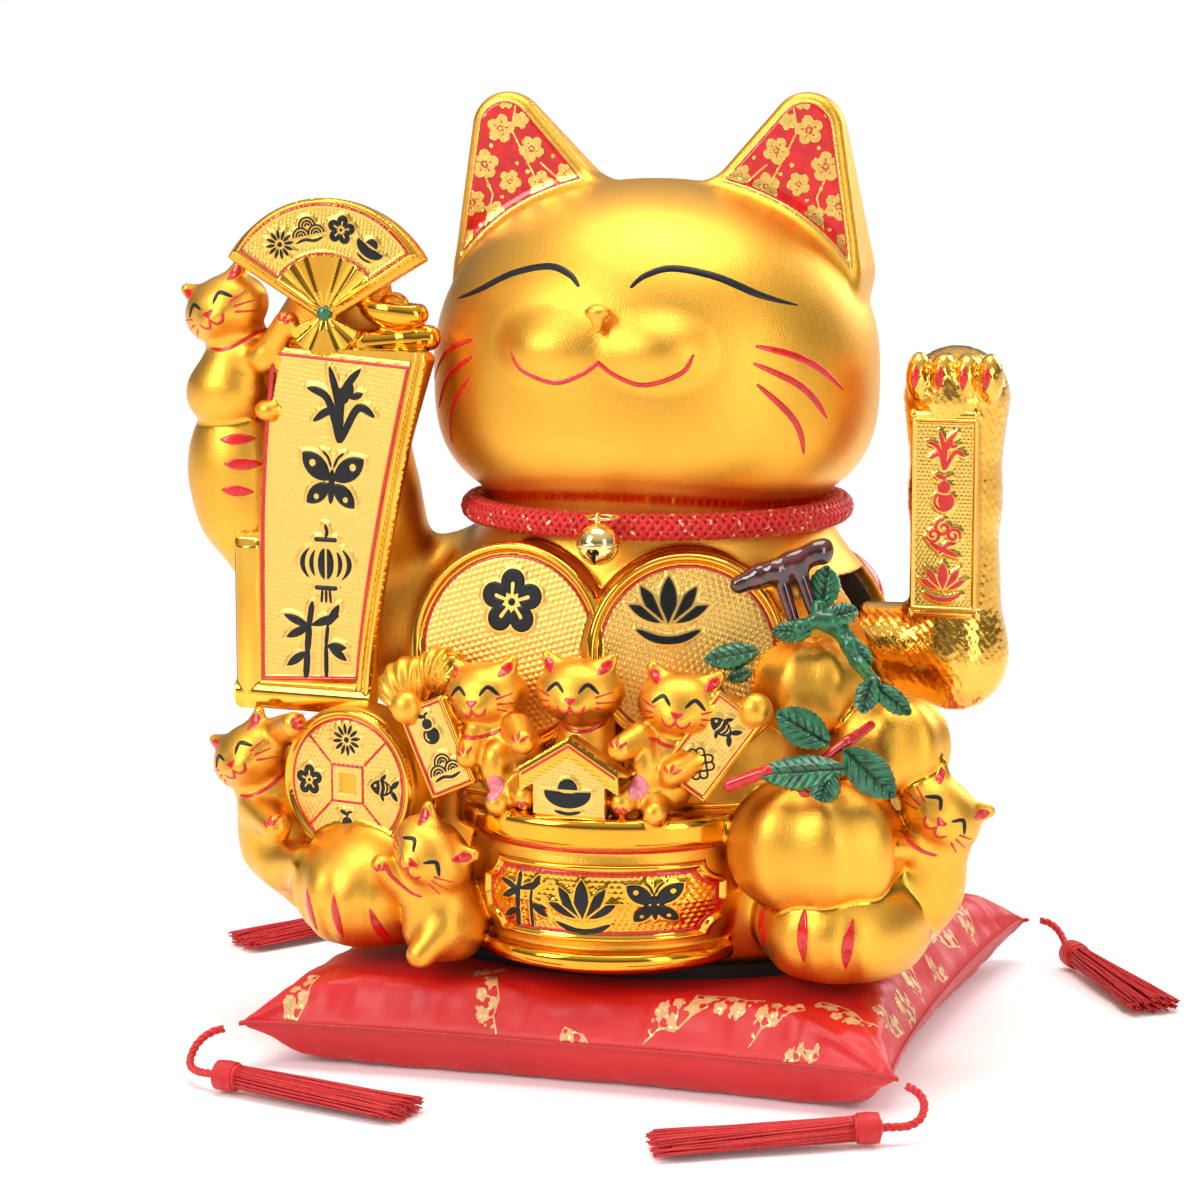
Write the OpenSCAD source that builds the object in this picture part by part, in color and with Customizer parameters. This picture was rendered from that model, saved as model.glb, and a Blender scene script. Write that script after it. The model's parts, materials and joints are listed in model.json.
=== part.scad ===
// Beckoning cat figurine: a hollow ceramic cat with a battery-driven swinging arm,
// a braided collar with a bell, and a tasselled cushion that it stands on.
// Millimetres. +Z is up, -Y is the cat's front and +X is the cat's left hand.
// The origin is the centre of the cushion's flat underside.

/* [Cushion] */
// Side of the square cushion, seam to seam
cushion_side = 239; // [230:1:248]
// Thickness of the stuffed cushion
cushion_height = 32; // [28:1:36]
// Thickness of the cushion cover
cover_wall = 1.2; // [0.8:0.1:1.6]

/* [Cat] */
// Height of the cat from its felt pad to its ear tips
cat_height = 300; // [270:1:315]
// Thickness of the ceramic wall
shell_wall = 4.5; // [3.5:0.1:5.5]
// Thickness of the felt pad under the body
pad_thickness = 4; // [3:0.5:5]

/* [Collar] */
// Radius of the braided neck rope
rope_r = 4.7; // [4:0.1:5]
// Radius of the bell
bell_r = 7.2; // [6.5:0.1:7.4]
// Wall of the bell's pressed cups
bell_wall = 0.6; // [0.5:0.1:0.8]

/* [Swinging arm] */
// Height of the arm's shaft above the felt pad
pivot_z = 106; // [104:1:108]
// Radius of the steel shaft
shaft_r = 1.5; // [1.3:0.1:1.8]
// Radial clearance of the shaft in its bearings
shaft_clearance = 0.06; // [0.03:0.01:0.1]
// Wall of the plated plastic arm
arm_wall = 2; // [1.6:0.1:2.4]

/* [Hidden] */

gold = "goldenrod";
plated = "gold";
enamel_red = "firebrick";
design_height = 300;
fine = 64;
relief_sides = 12;
smooth_sides = 28;
joint_sides = 32;

// ---------- placing and shaping helpers ----------

// Everything that stands on the cushion is drawn from the felt pad's underside up
module on_cushion() {
    translate([0, 0, cushion_height]) scale(cat_height / design_height) children();
}

// A rounded lump with its own half-width, half-depth and half-height
module lump(at, half, sides = relief_sides) {
    hull() translate(at) scale(half) sphere(r = 1, $fn = sides);
}

// A lump stretched from one place to another
module limb(from, half_from, to, half_to, sides = relief_sides) {
    hull() {
        translate(from) scale(half_from) sphere(r = 1, $fn = sides);
        translate(to) scale(half_to) sphere(r = 1, $fn = sides);
    }
}

// A block centred in X and Z whose front face looks along -Y
module slab(size) {
    translate([-size.x / 2, 0, -size.z / 2]) cube(size);
}

// Stands a shape drawn in the XY plane up so that it faces -Y, with its back at y = 0
module facing(thickness) {
    rotate([90, 0, 0]) linear_extrude(thickness) children();
}

// The closed outer form of torso, neck, head and ears, drawn in by inset
module body_form(inset = 0) {
    drawn_in = [inset, inset, inset];
    belly = [99, 84, 38] - drawn_in;
    chest = [87, 74, 34] - drawn_in;
    face = [80, 69, 45] - drawn_in;
    hull() {
        translate([0, 0, pad_thickness + inset]) scale([92 - inset, 78 - inset, 1])
            cylinder(r = 1, h = 1, $fn = smooth_sides);
        translate([0, 0, 46]) scale(belly) sphere(r = 1, $fn = smooth_sides);
    }
    limb([0, 0, 46], belly, [0, 0, 98], chest, smooth_sides);
    limb([0, 0, 98], chest, [0, 0, 136], [70 - inset, 64 - inset, 14], smooth_sides);
    hull() translate([0, 0, 130]) cylinder(r = 59.5 - inset, h = 60, $fn = smooth_sides);
    limb([0, -2, 204], face, [0, -5, 192], [80, 67, 32] - drawn_in, smooth_sides);
    limb([0, -2, 204], face, [0, 2, 230], [67, 57, 39] - drawn_in, smooth_sides);
    for (side = [-1, 1]) hull() {
        translate([side * 57, 3, 291]) sphere(r = 9 - inset, $fn = relief_sides);
        translate([side * 69, 4, 238]) sphere(r = 9 - inset, $fn = relief_sides);
        translate([side * 24, 2, 258]) sphere(r = 9 - inset, $fn = relief_sides);
        translate([side * 48, 18, 240]) sphere(r = 13 - inset, $fn = relief_sides);
    }
    lump([0, -58, 213], [34, 13, 15] - drawn_in, relief_sides);
}

// A sprig that seats on the body: whatever would sink into the body is cut away
module luted() {
    difference() {
        children();
        body_form();
    }
}

// A kitten's head with two ears, looking along -Y
module kitten_head(r) {
    lump([0, 0, 0], [1.12 * r, 0.8 * r, 0.92 * r]);
    for (side = [-1, 1]) hull() {
        translate([side * 0.8 * r, 0, 1.02 * r]) sphere(r = 0.16 * r, $fn = 6);
        translate([side * 0.95 * r, 0, 0.35 * r]) sphere(r = 0.2 * r, $fn = 6);
        translate([side * 0.35 * r, 0, 0.75 * r]) sphere(r = 0.2 * r, $fn = 6);
    }
}

// A free round cord laid along route, with rings across it
function unit(v) = v / norm(v);
function along(route, i) = unit(route[min(i + 1, len(route) - 1)] - route[max(i - 1, 0)]);
function ring(centre, dir, r, sides) =
    let (across = unit(cross(dir, [0.31, 0.17, 1])), over = cross(dir, across))
    [for (k = [0 : sides - 1]) centre + r * (cos(360 * k / sides) * across + sin(360 * k / sides) * over)];
module cord(route, r, sides = 8) {
    last = len(route) - 1;
    points = [for (i = [0 : last]) each ring(route[i], along(route, i), r, sides)];
    walls = [for (i = [0 : last - 1], k = [0 : sides - 1])
        let (a = i * sides + k, b = i * sides + (k + 1) % sides)
        each [[a, b, b + sides], [a, b + sides, a + sides]]];
    start = [for (k = [sides - 1 : -1 : 0]) k];
    end = [for (k = [0 : sides - 1]) last * sides + k];
    polyhedron(points, concat([start], walls, [end]));
}

// ---------- cushion ----------

cushion_flat = 0.8;    // the flat resting faces, as a part of the side
corner_pull = 0.93;    // the seam's middle is pulled in, as a part of the corner's reach

module pillow(inset) {
    half = cushion_side / 2 - inset;
    flat_half = cushion_flat * half;
    hull() {
        translate([-flat_half, -flat_half, inset])
            cube([2 * flat_half, 2 * flat_half, cushion_height - 2 * inset]);
        translate([0, 0, cushion_height / 2 - 1]) linear_extrude(2)
            polygon([for (k = [0 : 7]) let (reach = k % 2 == 0 ? corner_pull * half : half * sqrt(2))
                reach * [cos(45 * k), sin(45 * k)]]);
    }
}

module cushion_cover() {
    color(enamel_red) difference() {
        pillow(0);
        pillow(cover_wall);
    }
}

module cushion_filling() {
    color("white") pillow(cover_wall);
}

cord_r = 1.5;
tassel_head_r = 5.8;
tassel_head_length = 9;
tassel_skirt_r = 11;
tassel_length = 76;
front_left_route = [
    [-119, -119, 15], [-121.5, -121.5, 14.6], [-124, -124.5, 13], [-125.5, -128, 10.5], [-125.5, -132, 7.5],
    [-123.5, -136, 6], [-120, -139, 5.6], [-116, -141, 5.8], [-112, -142, 6], [-103, -143.4, 6]
];
front_right_route = [
    [119, -119, 15], [121.5, -120.5, 14.6], [124.5, -122.5, 13], [126, -125.5, 10.5], [125.5, -129.5, 7.8],
    [122.5, -132.5, 6.2], [118.5, -134.5, 6], [114.5, -136.3, 6], [106.2, -140, 6]
];
back_left_route = [
    [-119, 119, 15], [-121.5, 119.5, 14.6], [-125, 118.5, 13], [-128, 115.5, 10.5], [-129.5, 111.5, 8],
    [-130.5, 107, 6.4], [-131.8, 103, 6], [-134, 99.5, 6], [-139.8, 92.6, 6]
];
back_right_route = [
    [119, 119, 15], [121.5, 119.5, 14.6], [124.5, 119.3, 13], [127, 118, 10.8], [129, 115.5, 8.5],
    [130.6, 112.5, 7], [132, 109.6, 6], [137.2, 102.2, 6]
];
tassel_routes = [front_left_route, front_right_route, back_left_route, back_right_route];

module tassel_cord(route) {
    color(enamel_red) cord(route, cord_r);
}

// A knotted head round the cord's end, and a flaring, flattened skirt of threads, lying along +X
module tassel() {
    translate([-tassel_head_length, 0, 0]) rotate([0, 90, 0])
        cylinder(r = tassel_head_r, h = tassel_head_length, $fn = relief_sides);
    hull() {
        rotate([0, 90, 0]) cylinder(r = 4, h = 1, $fn = relief_sides);
        translate([tassel_length - tassel_head_length, 0, -2]) scale([1, 1, 0.33]) rotate([0, 90, 0])
            cylinder(r = tassel_skirt_r, h = 1, $fn = relief_sides);
    }
}

module tassels() {
    color(enamel_red) for (route = tassel_routes) {
        end = route[len(route) - 1];
        last_run = end - route[len(route) - 2];
        translate(end) rotate([0, 0, atan2(last_run.y, last_run.x)]) tassel();
    }
}

// ---------- ceramic body ----------

slot_half_depth = 20;
slot_bottom = pivot_z - 21;
slot_top = pivot_z + 27;
window_half_width = 40;
window_bottom = 9;
window_top = 52;
base_hole = [72, 58];
base_plate_thickness = 2;

module base_pad() {
    color("black") linear_extrude(pad_thickness) difference() {
        scale([90, 76]) circle(r = 1, $fn = fine);
        scale([70, 56]) circle(r = 1, $fn = fine);
    }
}

screw_x = [20, 50];
screw_y = [-14, 14];
screw_r = 1.5;

// Closes the casting's foot from below and carries the drive frame
module base_plate() {
    color("ivory") translate([0, 0, pad_thickness]) difference() {
        linear_extrude(base_plate_thickness) scale(base_hole - [0.6, 0.6]) circle(r = 1, $fn = smooth_sides);
        for (x = screw_x, y = screw_y) translate([x, y, -1])
            cylinder(r = screw_r + 0.1, h = base_plate_thickness + 2, $fn = fine);
    }
}

module body_shell() {
    color(gold) difference() {
        body_form();
        body_form(shell_wall);
        translate([0, 0, -10]) linear_extrude(30) scale(base_hole) circle(r = 1, $fn = smooth_sides);
        translate([60, -slot_half_depth, slot_bottom])
            cube([60, 2 * slot_half_depth, slot_top - slot_bottom]);
        translate([-window_half_width, 50, window_bottom])
            cube([2 * window_half_width, 60, window_top - window_bottom]);
    }
}

module raised_arm() {
    color(gold) luted() {
        limb([-66, 0, 112], [30, 28, 26], [-108, -12, 104], [28, 22, 24], 16);
        limb([-108, -12, 104], [28, 22, 24], [-114, -20, 150], [31, 20, 28], 16);
        limb([-114, -20, 150], [31, 20, 28], [-110, -25, 205], [29, 16, 24], 16);
        limb([-144, -36, 166], [20, 19, 28], [-132, -30, 128], [14, 14, 14], 16);
        limb([-110, -30, 212], [26, 12, 12], [-104, -36, 236], [22, 9, 12], 16);
    }
}

plaque_at = [-104, -49, 147];
plaque_size = [66, 8, 126];

module scroll_plaque() {
    color(plated) difference() {
        translate(plaque_at) rotate([0, 0, -6]) {
            translate([0, -plaque_size.y, 0]) slab(plaque_size);
            for (side = [-1, 1])
                translate([side * (plaque_size.x / 2 - 3), -plaque_size.y, -plaque_size.z / 2])
                    cylinder(r = 3.4, h = plaque_size.z, $fn = smooth_sides);
            translate([-plaque_size.x / 2, -plaque_size.y, 5 - plaque_size.z / 2]) rotate([0, 90, 0])
                cylinder(r = 4, h = plaque_size.x, $fn = smooth_sides);
        }
        raised_arm();
        body_form();
    }
}

fan_pivot = [-104, -46, 223];
fan_r = 40;
fan_spread = 57;

module sector(r, spread, steps = 12) {
    polygon(concat([[0, -3]], [for (i = [0 : steps]) let (a = 90 + spread - 2 * spread * i / steps)
        r * [cos(a), sin(a)]]));
}

module fan_crest() {
    color(plated) difference() {
        translate(fan_pivot) {
            facing(11) sector(fan_r, fan_spread);
            rotate([0, 180, 0]) facing(10) sector(15, 70);
            rotate([90, 0, 0]) cylinder(r = 3.2, h = 13, $fn = fine);
        }
        raised_arm();
        scroll_plaque();
        fan_kitten();
        body_form();
    }
}

module ingot(r) {
    limb([-0.6 * r, 0, 0], [0.5 * r, 0.5 * r, 0.45 * r], [0.6 * r, 0, 0], [0.5 * r, 0.5 * r, 0.45 * r]);
    lump([0, 0, 0.45 * r], [0.45 * r, 0.4 * r, 0.45 * r]);
}

module ingots() {
    color(plated) difference() {
        union() {
            translate([-81, -46, 224]) ingot(11);
            translate([-91, -49, 213.5]) rotate([0, 90, 14]) cylinder(r = 4, h = 23, $fn = relief_sides);
            translate([-64, -74, 104]) rotate([0, 30, 0]) ingot(12);
            translate([-46, -76, 110]) rotate([0, -20, 0]) ingot(11);
        }
        raised_arm();
        scroll_plaque();
        fan_crest();
        left_medallion();
        body_form();
    }
}

module fan_kitten() {
    color(gold) difference() {
        union() {
            translate([-145, -46, 224]) rotate([0, -14, -8]) kitten_head(14.5);
            limb([-141, -42, 210], [12, 11, 8], [-144, -42, 194], [16, 13, 14]);
            limb([-134, -46, 206], [7, 6, 6], [-119, -52, 219], [5, 5, 5]);
        }
        raised_arm();
        scroll_plaque();
    }
}

module disc_facing_front(at, r, thickness, turn, tilt) {
    translate(at) rotate([tilt, 0, turn]) facing(thickness) circle(r = r, $fn = fine);
}

module left_medallion() {
    color(plated) difference() {
        disc_facing_front([-32, -64, 110], 36.5, 12, -6, 9);
        body_form();
    }
}

module right_medallion() {
    color(plated) difference() {
        disc_facing_front([29, -62, 111], 34, 12, 14, 9);
        body_form();
        left_medallion();
    }
}

coin_at = [-86, -66, 63];
coin_r = 26;

module fortune_coin() {
    color(plated) difference() {
        translate(coin_at) rotate([0, 0, -13]) facing(15) circle(r = coin_r, $fn = fine);
        translate(coin_at) rotate([0, 0, -13]) translate([0, -16, 0]) slab([9, 4, 9]);
        left_foot();
        body_form();
    }
}

module coin_kitten() {
    color(gold) difference() {
        union() {
            translate([-133, -60, 64]) rotate([0, -31, -14]) kitten_head(14);
            limb([-126, -52, 54], [12, 12, 10], [-118, -46, 32], [18, 20, 22]);
            limb([-118, -62, 76], [5, 6, 6], [-111, -72, 81], [5, 5, 5]);
            limb([-128, -62, 48], [6, 6, 6], [-119, -72, 45], [5, 5, 5]);
        }
        fortune_coin();
        left_foot();
        body_form();
    }
}

module left_foot() {
    color(gold) luted() {
        limb([-84, -62, 24], [28, 34, 22], [-76, -50, 30], [28, 30, 26], 16);
        limb([-84, -62, 24], [28, 34, 22], [-82, -66, 12], [26, 34, 8], 16);
    }
}

module right_foot() {
    color(gold) luted() {
        limb([84, -60, 22], [28, 36, 20], [80, -50, 28], [28, 30, 22], 16);
        limb([84, -60, 22], [28, 36, 20], [84, -64, 12], [26, 34, 8], 16);
    }
}

module foot_kitten() {
    color(gold) difference() {
        union() {
            translate([-51, -96, 43]) rotate([0, 40, 0]) kitten_head(13.5);
            limb([-52, -90, 34], [13, 12, 10], [-50, -86, 17], [16, 16, 12]);
            limb([-60, -94, 30], [6, 6, 6], [-66, -97, 38], [5, 5, 5]);
        }
        left_foot();
        fortune_coin();
        treasure_bowl();
        body_form();
    }
}

module banner(at, size, lean, turn) {
    translate(at) rotate([0, 0, turn]) rotate([0, lean, 0]) slab(size);
}

module left_banner() {
    color(plated) difference() {
        banner([-49, -94, 80], [17, 19, 31], -24, -6);
        body_form();
        left_medallion();
        fortune_coin();
        ingots();
        row_kittens();
    }
}

module right_banner() {
    color(plated) difference() {
        banner([44, -90, 85], [17, 22, 33], 36, 10);
        body_form();
        right_medallion();
        row_kittens();
    }
}

module row_kitten(at, r) {
    translate(at) {
        kitten_head(r);
        limb([0, 4, -12], [0.9 * r, 9, 9], [0, 2, -24], [11, 11, 10]);
        for (side = [-1, 1]) limb([side * 8, -2, -14], [4, 4, 4], [side * 12, -6, -8], [4, 4, 4]);
    }
}

module row_kittens() {
    color(gold) difference() {
        union() {
            row_kitten([-33, -84, 98], 12.2);
            row_kitten([0, -88, 102], 12.2);
            row_kitten([32, -84, 99], 12.2);
        }
        body_form();
        left_medallion();
        right_medallion();
        ingots();
    }
}

// A gabled tablet that stands on the bowl's rim, seated a little into the middle kitten
module house_tablet() {
    color(plated) translate([0, -96, bowl_rim_z]) facing(8) polygon([
        [-13, 0], [13, 0], [13, 17], [17.5, 17], [0, 27.5], [-17.5, 17], [-13, 17]
    ]);
}

bowl_rim_z = 61.2;
bowl_at = [2, -58, 0];

module bowl_layer(z, half, h) {
    translate([bowl_at.x, bowl_at.y, z]) scale([half.x, half.y, 1]) cylinder(r = 1, h = h, $fn = joint_sides);
}

module treasure_bowl() {
    color(plated) luted() {
        hull() {
            bowl_layer(56, [52, 45], 5);
            bowl_layer(30, [47, 46], 10);
            bowl_layer(5, [42, 40], 5);
        }
        hull() {
            bowl_layer(50, [53, 47], 6);
            bowl_layer(60, [51, 45], 1);
        }
    }
}

// A fruit with four flat lobes
module persimmon(at, half) {
    lump(at, half, 16);
    for (turn = [0, 90]) translate(at) rotate([0, 0, 45 + turn])
        lump([0, 0, 0.06 * half.z], [1.04 * half.x, 0.5 * half.y, 0.9 * half.z], 12);
}

module persimmon_top() {
    color(gold) difference() {
        persimmon([70, -56, 101], [20, 17, 17]);
        body_form();
        right_medallion();
        right_banner();
        row_kittens();
    }
}

module persimmon_side() {
    color(gold) difference() {
        persimmon([98, -56, 82], [20, 17, 18]);
        body_form();
        persimmon_top();
    }
}

module persimmon_front() {
    color(gold) difference() {
        persimmon([77, -74, 50], [29, 24, 24]);
        body_form();
        treasure_bowl();
        right_foot();
        right_banner();
        persimmon_side();
    }
}

module persimmon_kitten() {
    color(gold) difference() {
        union() {
            translate([117, -60, 61]) rotate([0, 48, 12]) kitten_head(13.5);
            limb([114, -56, 50], [11, 11, 10], [104, -50, 28], [14, 16, 16]);
            limb([112, -64, 50], [6, 6, 6], [104, -74, 50], [5, 5, 5]);
        }
        body_form();
        persimmon_front();
        persimmon_side();
        right_foot();
    }
}

module leaf(at, length, lean, turn) {
    translate(at) rotate([0, 0, turn]) rotate([0, lean, 0]) hull() {
        translate([-length / 2, 0, 0]) sphere(r = 1.2, $fn = 6);
        translate([0, -1, 0]) scale([1, 1.2, length / 4]) sphere(r = 1, $fn = 8);
        translate([length / 2, 0, 0]) sphere(r = 1.2, $fn = 6);
    }
}

module leaves() {
    color("seagreen") difference() {
        sprays();
        persimmon_top();
        persimmon_side();
        twig();
    }
}

module sprays() {
    union() {
        leaf([76, -61, 136], 16, -70, 35);
        leaf([48, -79, 113], 17, -12, 12);
        leaf([74, -79, 90], 20, 38, 14);
        leaf([83, -97, 73], 15, 20, 14);
        leaf([71, -99, 75], 15, -8, 4);
        leaf([97, -82, 77], 20, 50, 28);
        leaf([92, -64, 100], 18, 62, 40);
        limb([64, -72, 120], [2, 2, 2], [80, -62, 124], [2.5, 2.5, 2.5], 8);
        limb([80, -62, 124], [2.5, 2.5, 2.5], [92, -62, 100], [2, 2, 2], 8);
    }
}

module branch() {
    color("crimson") {
        limb([54, -95, 73], [2.4, 2.4, 2.4], [76, -90, 80], [2.4, 2.4, 2.4], 8);
        limb([76, -90, 80], [2.4, 2.4, 2.4], [94, -76, 91], [2.4, 2.4, 2.4], 8);
    }
}

module twig() {
    color("saddlebrown") difference() {
        union() {
            limb([51, -68, 138], [4, 5, 5], [70, -58, 146], [6, 6, 6]);
            limb([64, -62, 140], [3, 4, 3], [66, -70, 126], [2.2, 4, 2.2]);
            limb([68, -60, 140], [3, 4, 3], [73, -64, 129], [2.2, 4, 2.2]);
        }
        body_form();
        right_medallion();
    }
}

module back_pouch() {
    color(enamel_red) luted() {
        lump([42, 62, 112], [27, 20, 22], 16);
        lump([34, 62, 136], [12, 9, 7]);
    }
}

// ---------- collar ----------

rope_z = 153.7;
rope_ring_r = 65;

module neck_rope() {
    color(enamel_red) translate([0, 0, rope_z]) rotate_extrude($fn = 96) translate([rope_ring_r, 0])
        circle(r = rope_r, $fn = 24);
}

// A barrel clasp that closes the rope at the nape
module rope_clasp() {
    color(plated) difference() {
        translate([-6, rope_ring_r, rope_z]) rotate([0, 90, 0])
            cylinder(r = rope_r + 0.7, h = 12, $fn = fine);
        neck_rope();
    }
}

bell_pivot = [2, -rope_ring_r - rope_r - 8, 157.6];
ring_r = 1.9;
ring_wire_r = 0.6;
bell_at = bell_pivot - [0, 0, ring_r - ring_wire_r + bell_r];
staple_wire_r = 0.5;
staple_back_y = -66.8;

// A wire eye sewn into the rope's front; the bell's ring hangs in it
module bell_staple() {
    staple_r = (staple_back_y - bell_pivot.y) / 2;
    color(plated) translate([bell_pivot.x, bell_pivot.y + staple_r, bell_pivot.z]) rotate_extrude($fn = fine)
        translate([staple_r, 0]) circle(r = staple_wire_r, $fn = 24);
}

module bell_ring() {
    color(plated) translate(bell_pivot) rotate([0, 90, 0]) rotate_extrude($fn = fine)
        translate([ring_r, 0]) circle(r = ring_wire_r, $fn = 24);
}

bell_gap = 0.15;

// Half of the hollow bell, as an outline turned about its own upright axis
module bell_half_outline(low, high) {
    intersection() {
        difference() {
            circle(r = bell_r, $fn = fine);
            circle(r = bell_r - bell_wall, $fn = fine);
        }
        translate([0, low]) square([2 * bell_r, high - low]);
    }
}

module bell_upper() {
    color(plated) translate(bell_at) rotate_extrude($fn = fine) bell_half_outline(bell_gap / 2, bell_r);
}

module bell_lower() {
    color(plated) translate(bell_at) difference() {
        rotate_extrude($fn = fine) bell_half_outline(-bell_r, -bell_gap / 2);
        translate([-0.9, -10, -10]) cube([1.8, 20, 7]);
        for (side = [-1, 1]) translate([0, side * 10, -3.4]) rotate([90, 0, 0])
            cylinder(r = 1.7, h = 10, center = true, $fn = fine);
    }
}

module bell_pellet() {
    color("silver") translate(bell_at - [0, 0, bell_r - bell_wall - 2.4 - 0.5]) sphere(r = 2.4, $fn = fine);
}

// ---------- swinging arm ----------

arm_x = 108.5;
arm_half_x = 16;
arm_half_y = 16;
arm_sides = 18;
stub_r = 16.5;
stub_inner_x = 74;

// The arm's outer form: elbow, forearm and forward-bent paw, drawn in by inset
module arm_form(inset = 0) {
    drawn_in = [inset, inset, inset];
    hull() {
        translate([arm_x, 0, pivot_z - 4]) scale([arm_half_x, arm_half_y, 19] - drawn_in)
            sphere(r = 1, $fn = arm_sides);
        translate([arm_x - 1, 0, pivot_z + 60]) scale([15, 15, 16] - drawn_in) sphere(r = 1, $fn = arm_sides);
    }
    hull() {
        translate([arm_x - 1, 0, pivot_z + 60]) scale([15, 15, 16] - drawn_in) sphere(r = 1, $fn = arm_sides);
        translate([arm_x, -2, pivot_z + 89]) scale([18.3, 18, 18] - drawn_in) sphere(r = 1, $fn = arm_sides);
    }
}

module arm_solid() {
    difference() {
        union() {
            arm_form();
            translate([stub_inner_x, 0, pivot_z]) rotate([0, 90, 0])
                cylinder(r = stub_r, h = arm_x - stub_inner_x, $fn = fine);
        }
        arm_form(arm_wall);
        translate([stub_inner_x + arm_wall, 0, pivot_z]) rotate([0, 90, 0])
            cylinder(r = stub_r - arm_wall, h = arm_x - stub_inner_x, $fn = fine);
    }
    translate([stub_inner_x, 0, pivot_z]) rotate([0, 90, 0]) difference() {
        cylinder(r = 4.5, h = 18, $fn = fine);
        translate([0, 0, -1]) cylinder(r = shaft_r, h = 17, $fn = fine);
    }
}

module arm_front_shell() {
    color(plated) difference() {
        arm_solid();
        translate([0, 0, pivot_z - 60]) cube([200, 100, 220]);
        translate([stub_inner_x - 1, 0, pivot_z]) rotate([0, 90, 0])
            cylinder(r = shaft_r, h = 17, $fn = fine);
    }
}

module arm_back_shell() {
    color(plated) difference() {
        arm_solid();
        translate([0, -100, pivot_z - 60]) cube([200, 100, 220]);
        translate([stub_inner_x - 1, 0, pivot_z]) rotate([0, 90, 0])
            cylinder(r = shaft_r, h = 17, $fn = fine);
    }
}

module arm_scroll() {
    color(plated) difference() {
        translate([arm_x - 1, -18.5, pivot_z + 50]) {
            slab([22, 10, 66]);
            for (side = [-1, 1]) translate([-12.5, 2, side * 34]) rotate([0, 90, 0])
                cylinder(r = 2, h = 25, $fn = 24);
        }
        arm_form();
    }
}

shaft_end_x = 10;
lever_x = 30;
lever_length = 42;

module arm_shaft() {
    color("silver") translate([shaft_end_x, 0, pivot_z]) rotate([0, 90, 0])
        cylinder(r = shaft_r, h = stub_inner_x + 15 - shaft_end_x, $fn = fine);
}

module swing_lever() {
    color("white") translate([lever_x, 0, pivot_z]) rotate([0, 90, 0]) difference() {
        union() {
            cylinder(r = 4.5, h = 8, $fn = fine);
            translate([0, -2.5, 0]) cube([lever_length - 8, 5, 8]);
        }
        translate([0, 0, -1]) cylinder(r = shaft_r, h = 10, $fn = fine);
    }
}

module counterweight() {
    color("gray") translate([lever_x - 9, -8, pivot_z - lever_length - 8]) cube([26, 16, 16]);
}

// ---------- drive inside the body ----------

frame_x = [12, 56];
frame_wall = 3;
frame_half_y = 20;
frame_floor_z = pad_thickness + base_plate_thickness;
shelf_z = 38;

module drive_frame() {
    color("ivory") difference() {
        union() {
            for (x = frame_x) translate([x, -frame_half_y, frame_floor_z])
                cube([frame_wall, 2 * frame_half_y, pivot_z + 8 - frame_floor_z]);
            translate([frame_x[0], -frame_half_y, frame_floor_z])
                cube([frame_x[1] - frame_x[0] + frame_wall, 2 * frame_half_y, frame_wall]);
            translate([frame_x[0], -frame_half_y, shelf_z])
                cube([frame_x[1] - frame_x[0] + frame_wall, 2 * frame_half_y, frame_wall]);
        }
        translate([0, 0, pivot_z]) rotate([0, 90, 0])
            cylinder(r = shaft_r + shaft_clearance, h = 100, $fn = fine);
        for (x = screw_x, y = screw_y) translate([x, y, 0]) cylinder(r = screw_r + 0.1, h = 20, $fn = fine);
    }
}

module drive_coil() {
    color("peru") translate([34, 0, shelf_z + frame_wall]) difference() {
        cylinder(r = 13, h = 7, $fn = fine);
        translate([0, 0, -1]) cylinder(r = 4, h = 9, $fn = fine);
    }
}

module circuit_board() {
    color("darkgreen") translate([18, 12, 14]) cube([34, 1.6, 20]);
    color("black") {
        translate([24, 9.8, 20]) cube([8, 2.2, 6]);
        translate([42, 12, 28]) rotate([90, 0, 0]) cylinder(r = 3, h = 7, $fn = fine);
    }
}

module frame_screws() {
    color("silver") for (x = screw_x, y = screw_y) translate([x, y, frame_floor_z + frame_wall]) {
        cylinder(r = 3, h = 1.8, $fn = fine);
        translate([0, 0, -frame_wall - 2]) cylinder(r = screw_r, h = frame_wall + 2, $fn = fine);
    }
}

cell_r = 7.2;
cell_length = 50.4;
cell_x = -38;
cell_y = 52;
cell_z = [18.4, 35.2];

module battery_box() {
    color("ivory") difference() {
        union() {
            translate([-43, 40, 9]) cube([61, 21, 38]);
            translate([-44, 61, 9]) cube([88, 3, 38]);
            for (x = [-38, 10]) translate([x, 40, frame_floor_z]) cube([5, 5, 9 - frame_floor_z]);
            for (x = [-41.5, 13]) translate([x, 61, 45.5]) cube([3.5, 6.4, 3.5]);
        }
        translate([-39.5, 42, 11]) cube([54, 30, 32.5]);
        translate([36, 50, 18]) rotate([-90, 0, 0]) cylinder(r = 4, h = 30, $fn = fine);
        translate([25, 60, 27]) cube([4, 10, 12]);
        translate([-50, 66, 47.2]) rotate([0, 90, 0]) cylinder(r = 1.06, h = 100, $fn = fine);
    }
}

module batteries() {
    color("slategray") for (z = cell_z) translate([cell_x, cell_y, z]) rotate([0, 90, 0]) {
        cylinder(r = cell_r, h = cell_length - 1.2, $fn = fine);
        cylinder(r = 2.7, h = cell_length, $fn = fine);
    }
}

module battery_contacts() {
    color("silver") {
        translate([cell_x - 1.2, 46, 12]) cube([0.5, 12, 29]);
        translate([cell_x + cell_length + 0.3, 46, 12]) cube([0.5, 12, 12]);
        translate([cell_x + cell_length + 0.3, 46, 29]) cube([0.5, 12, 12]);
    }
}

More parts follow.
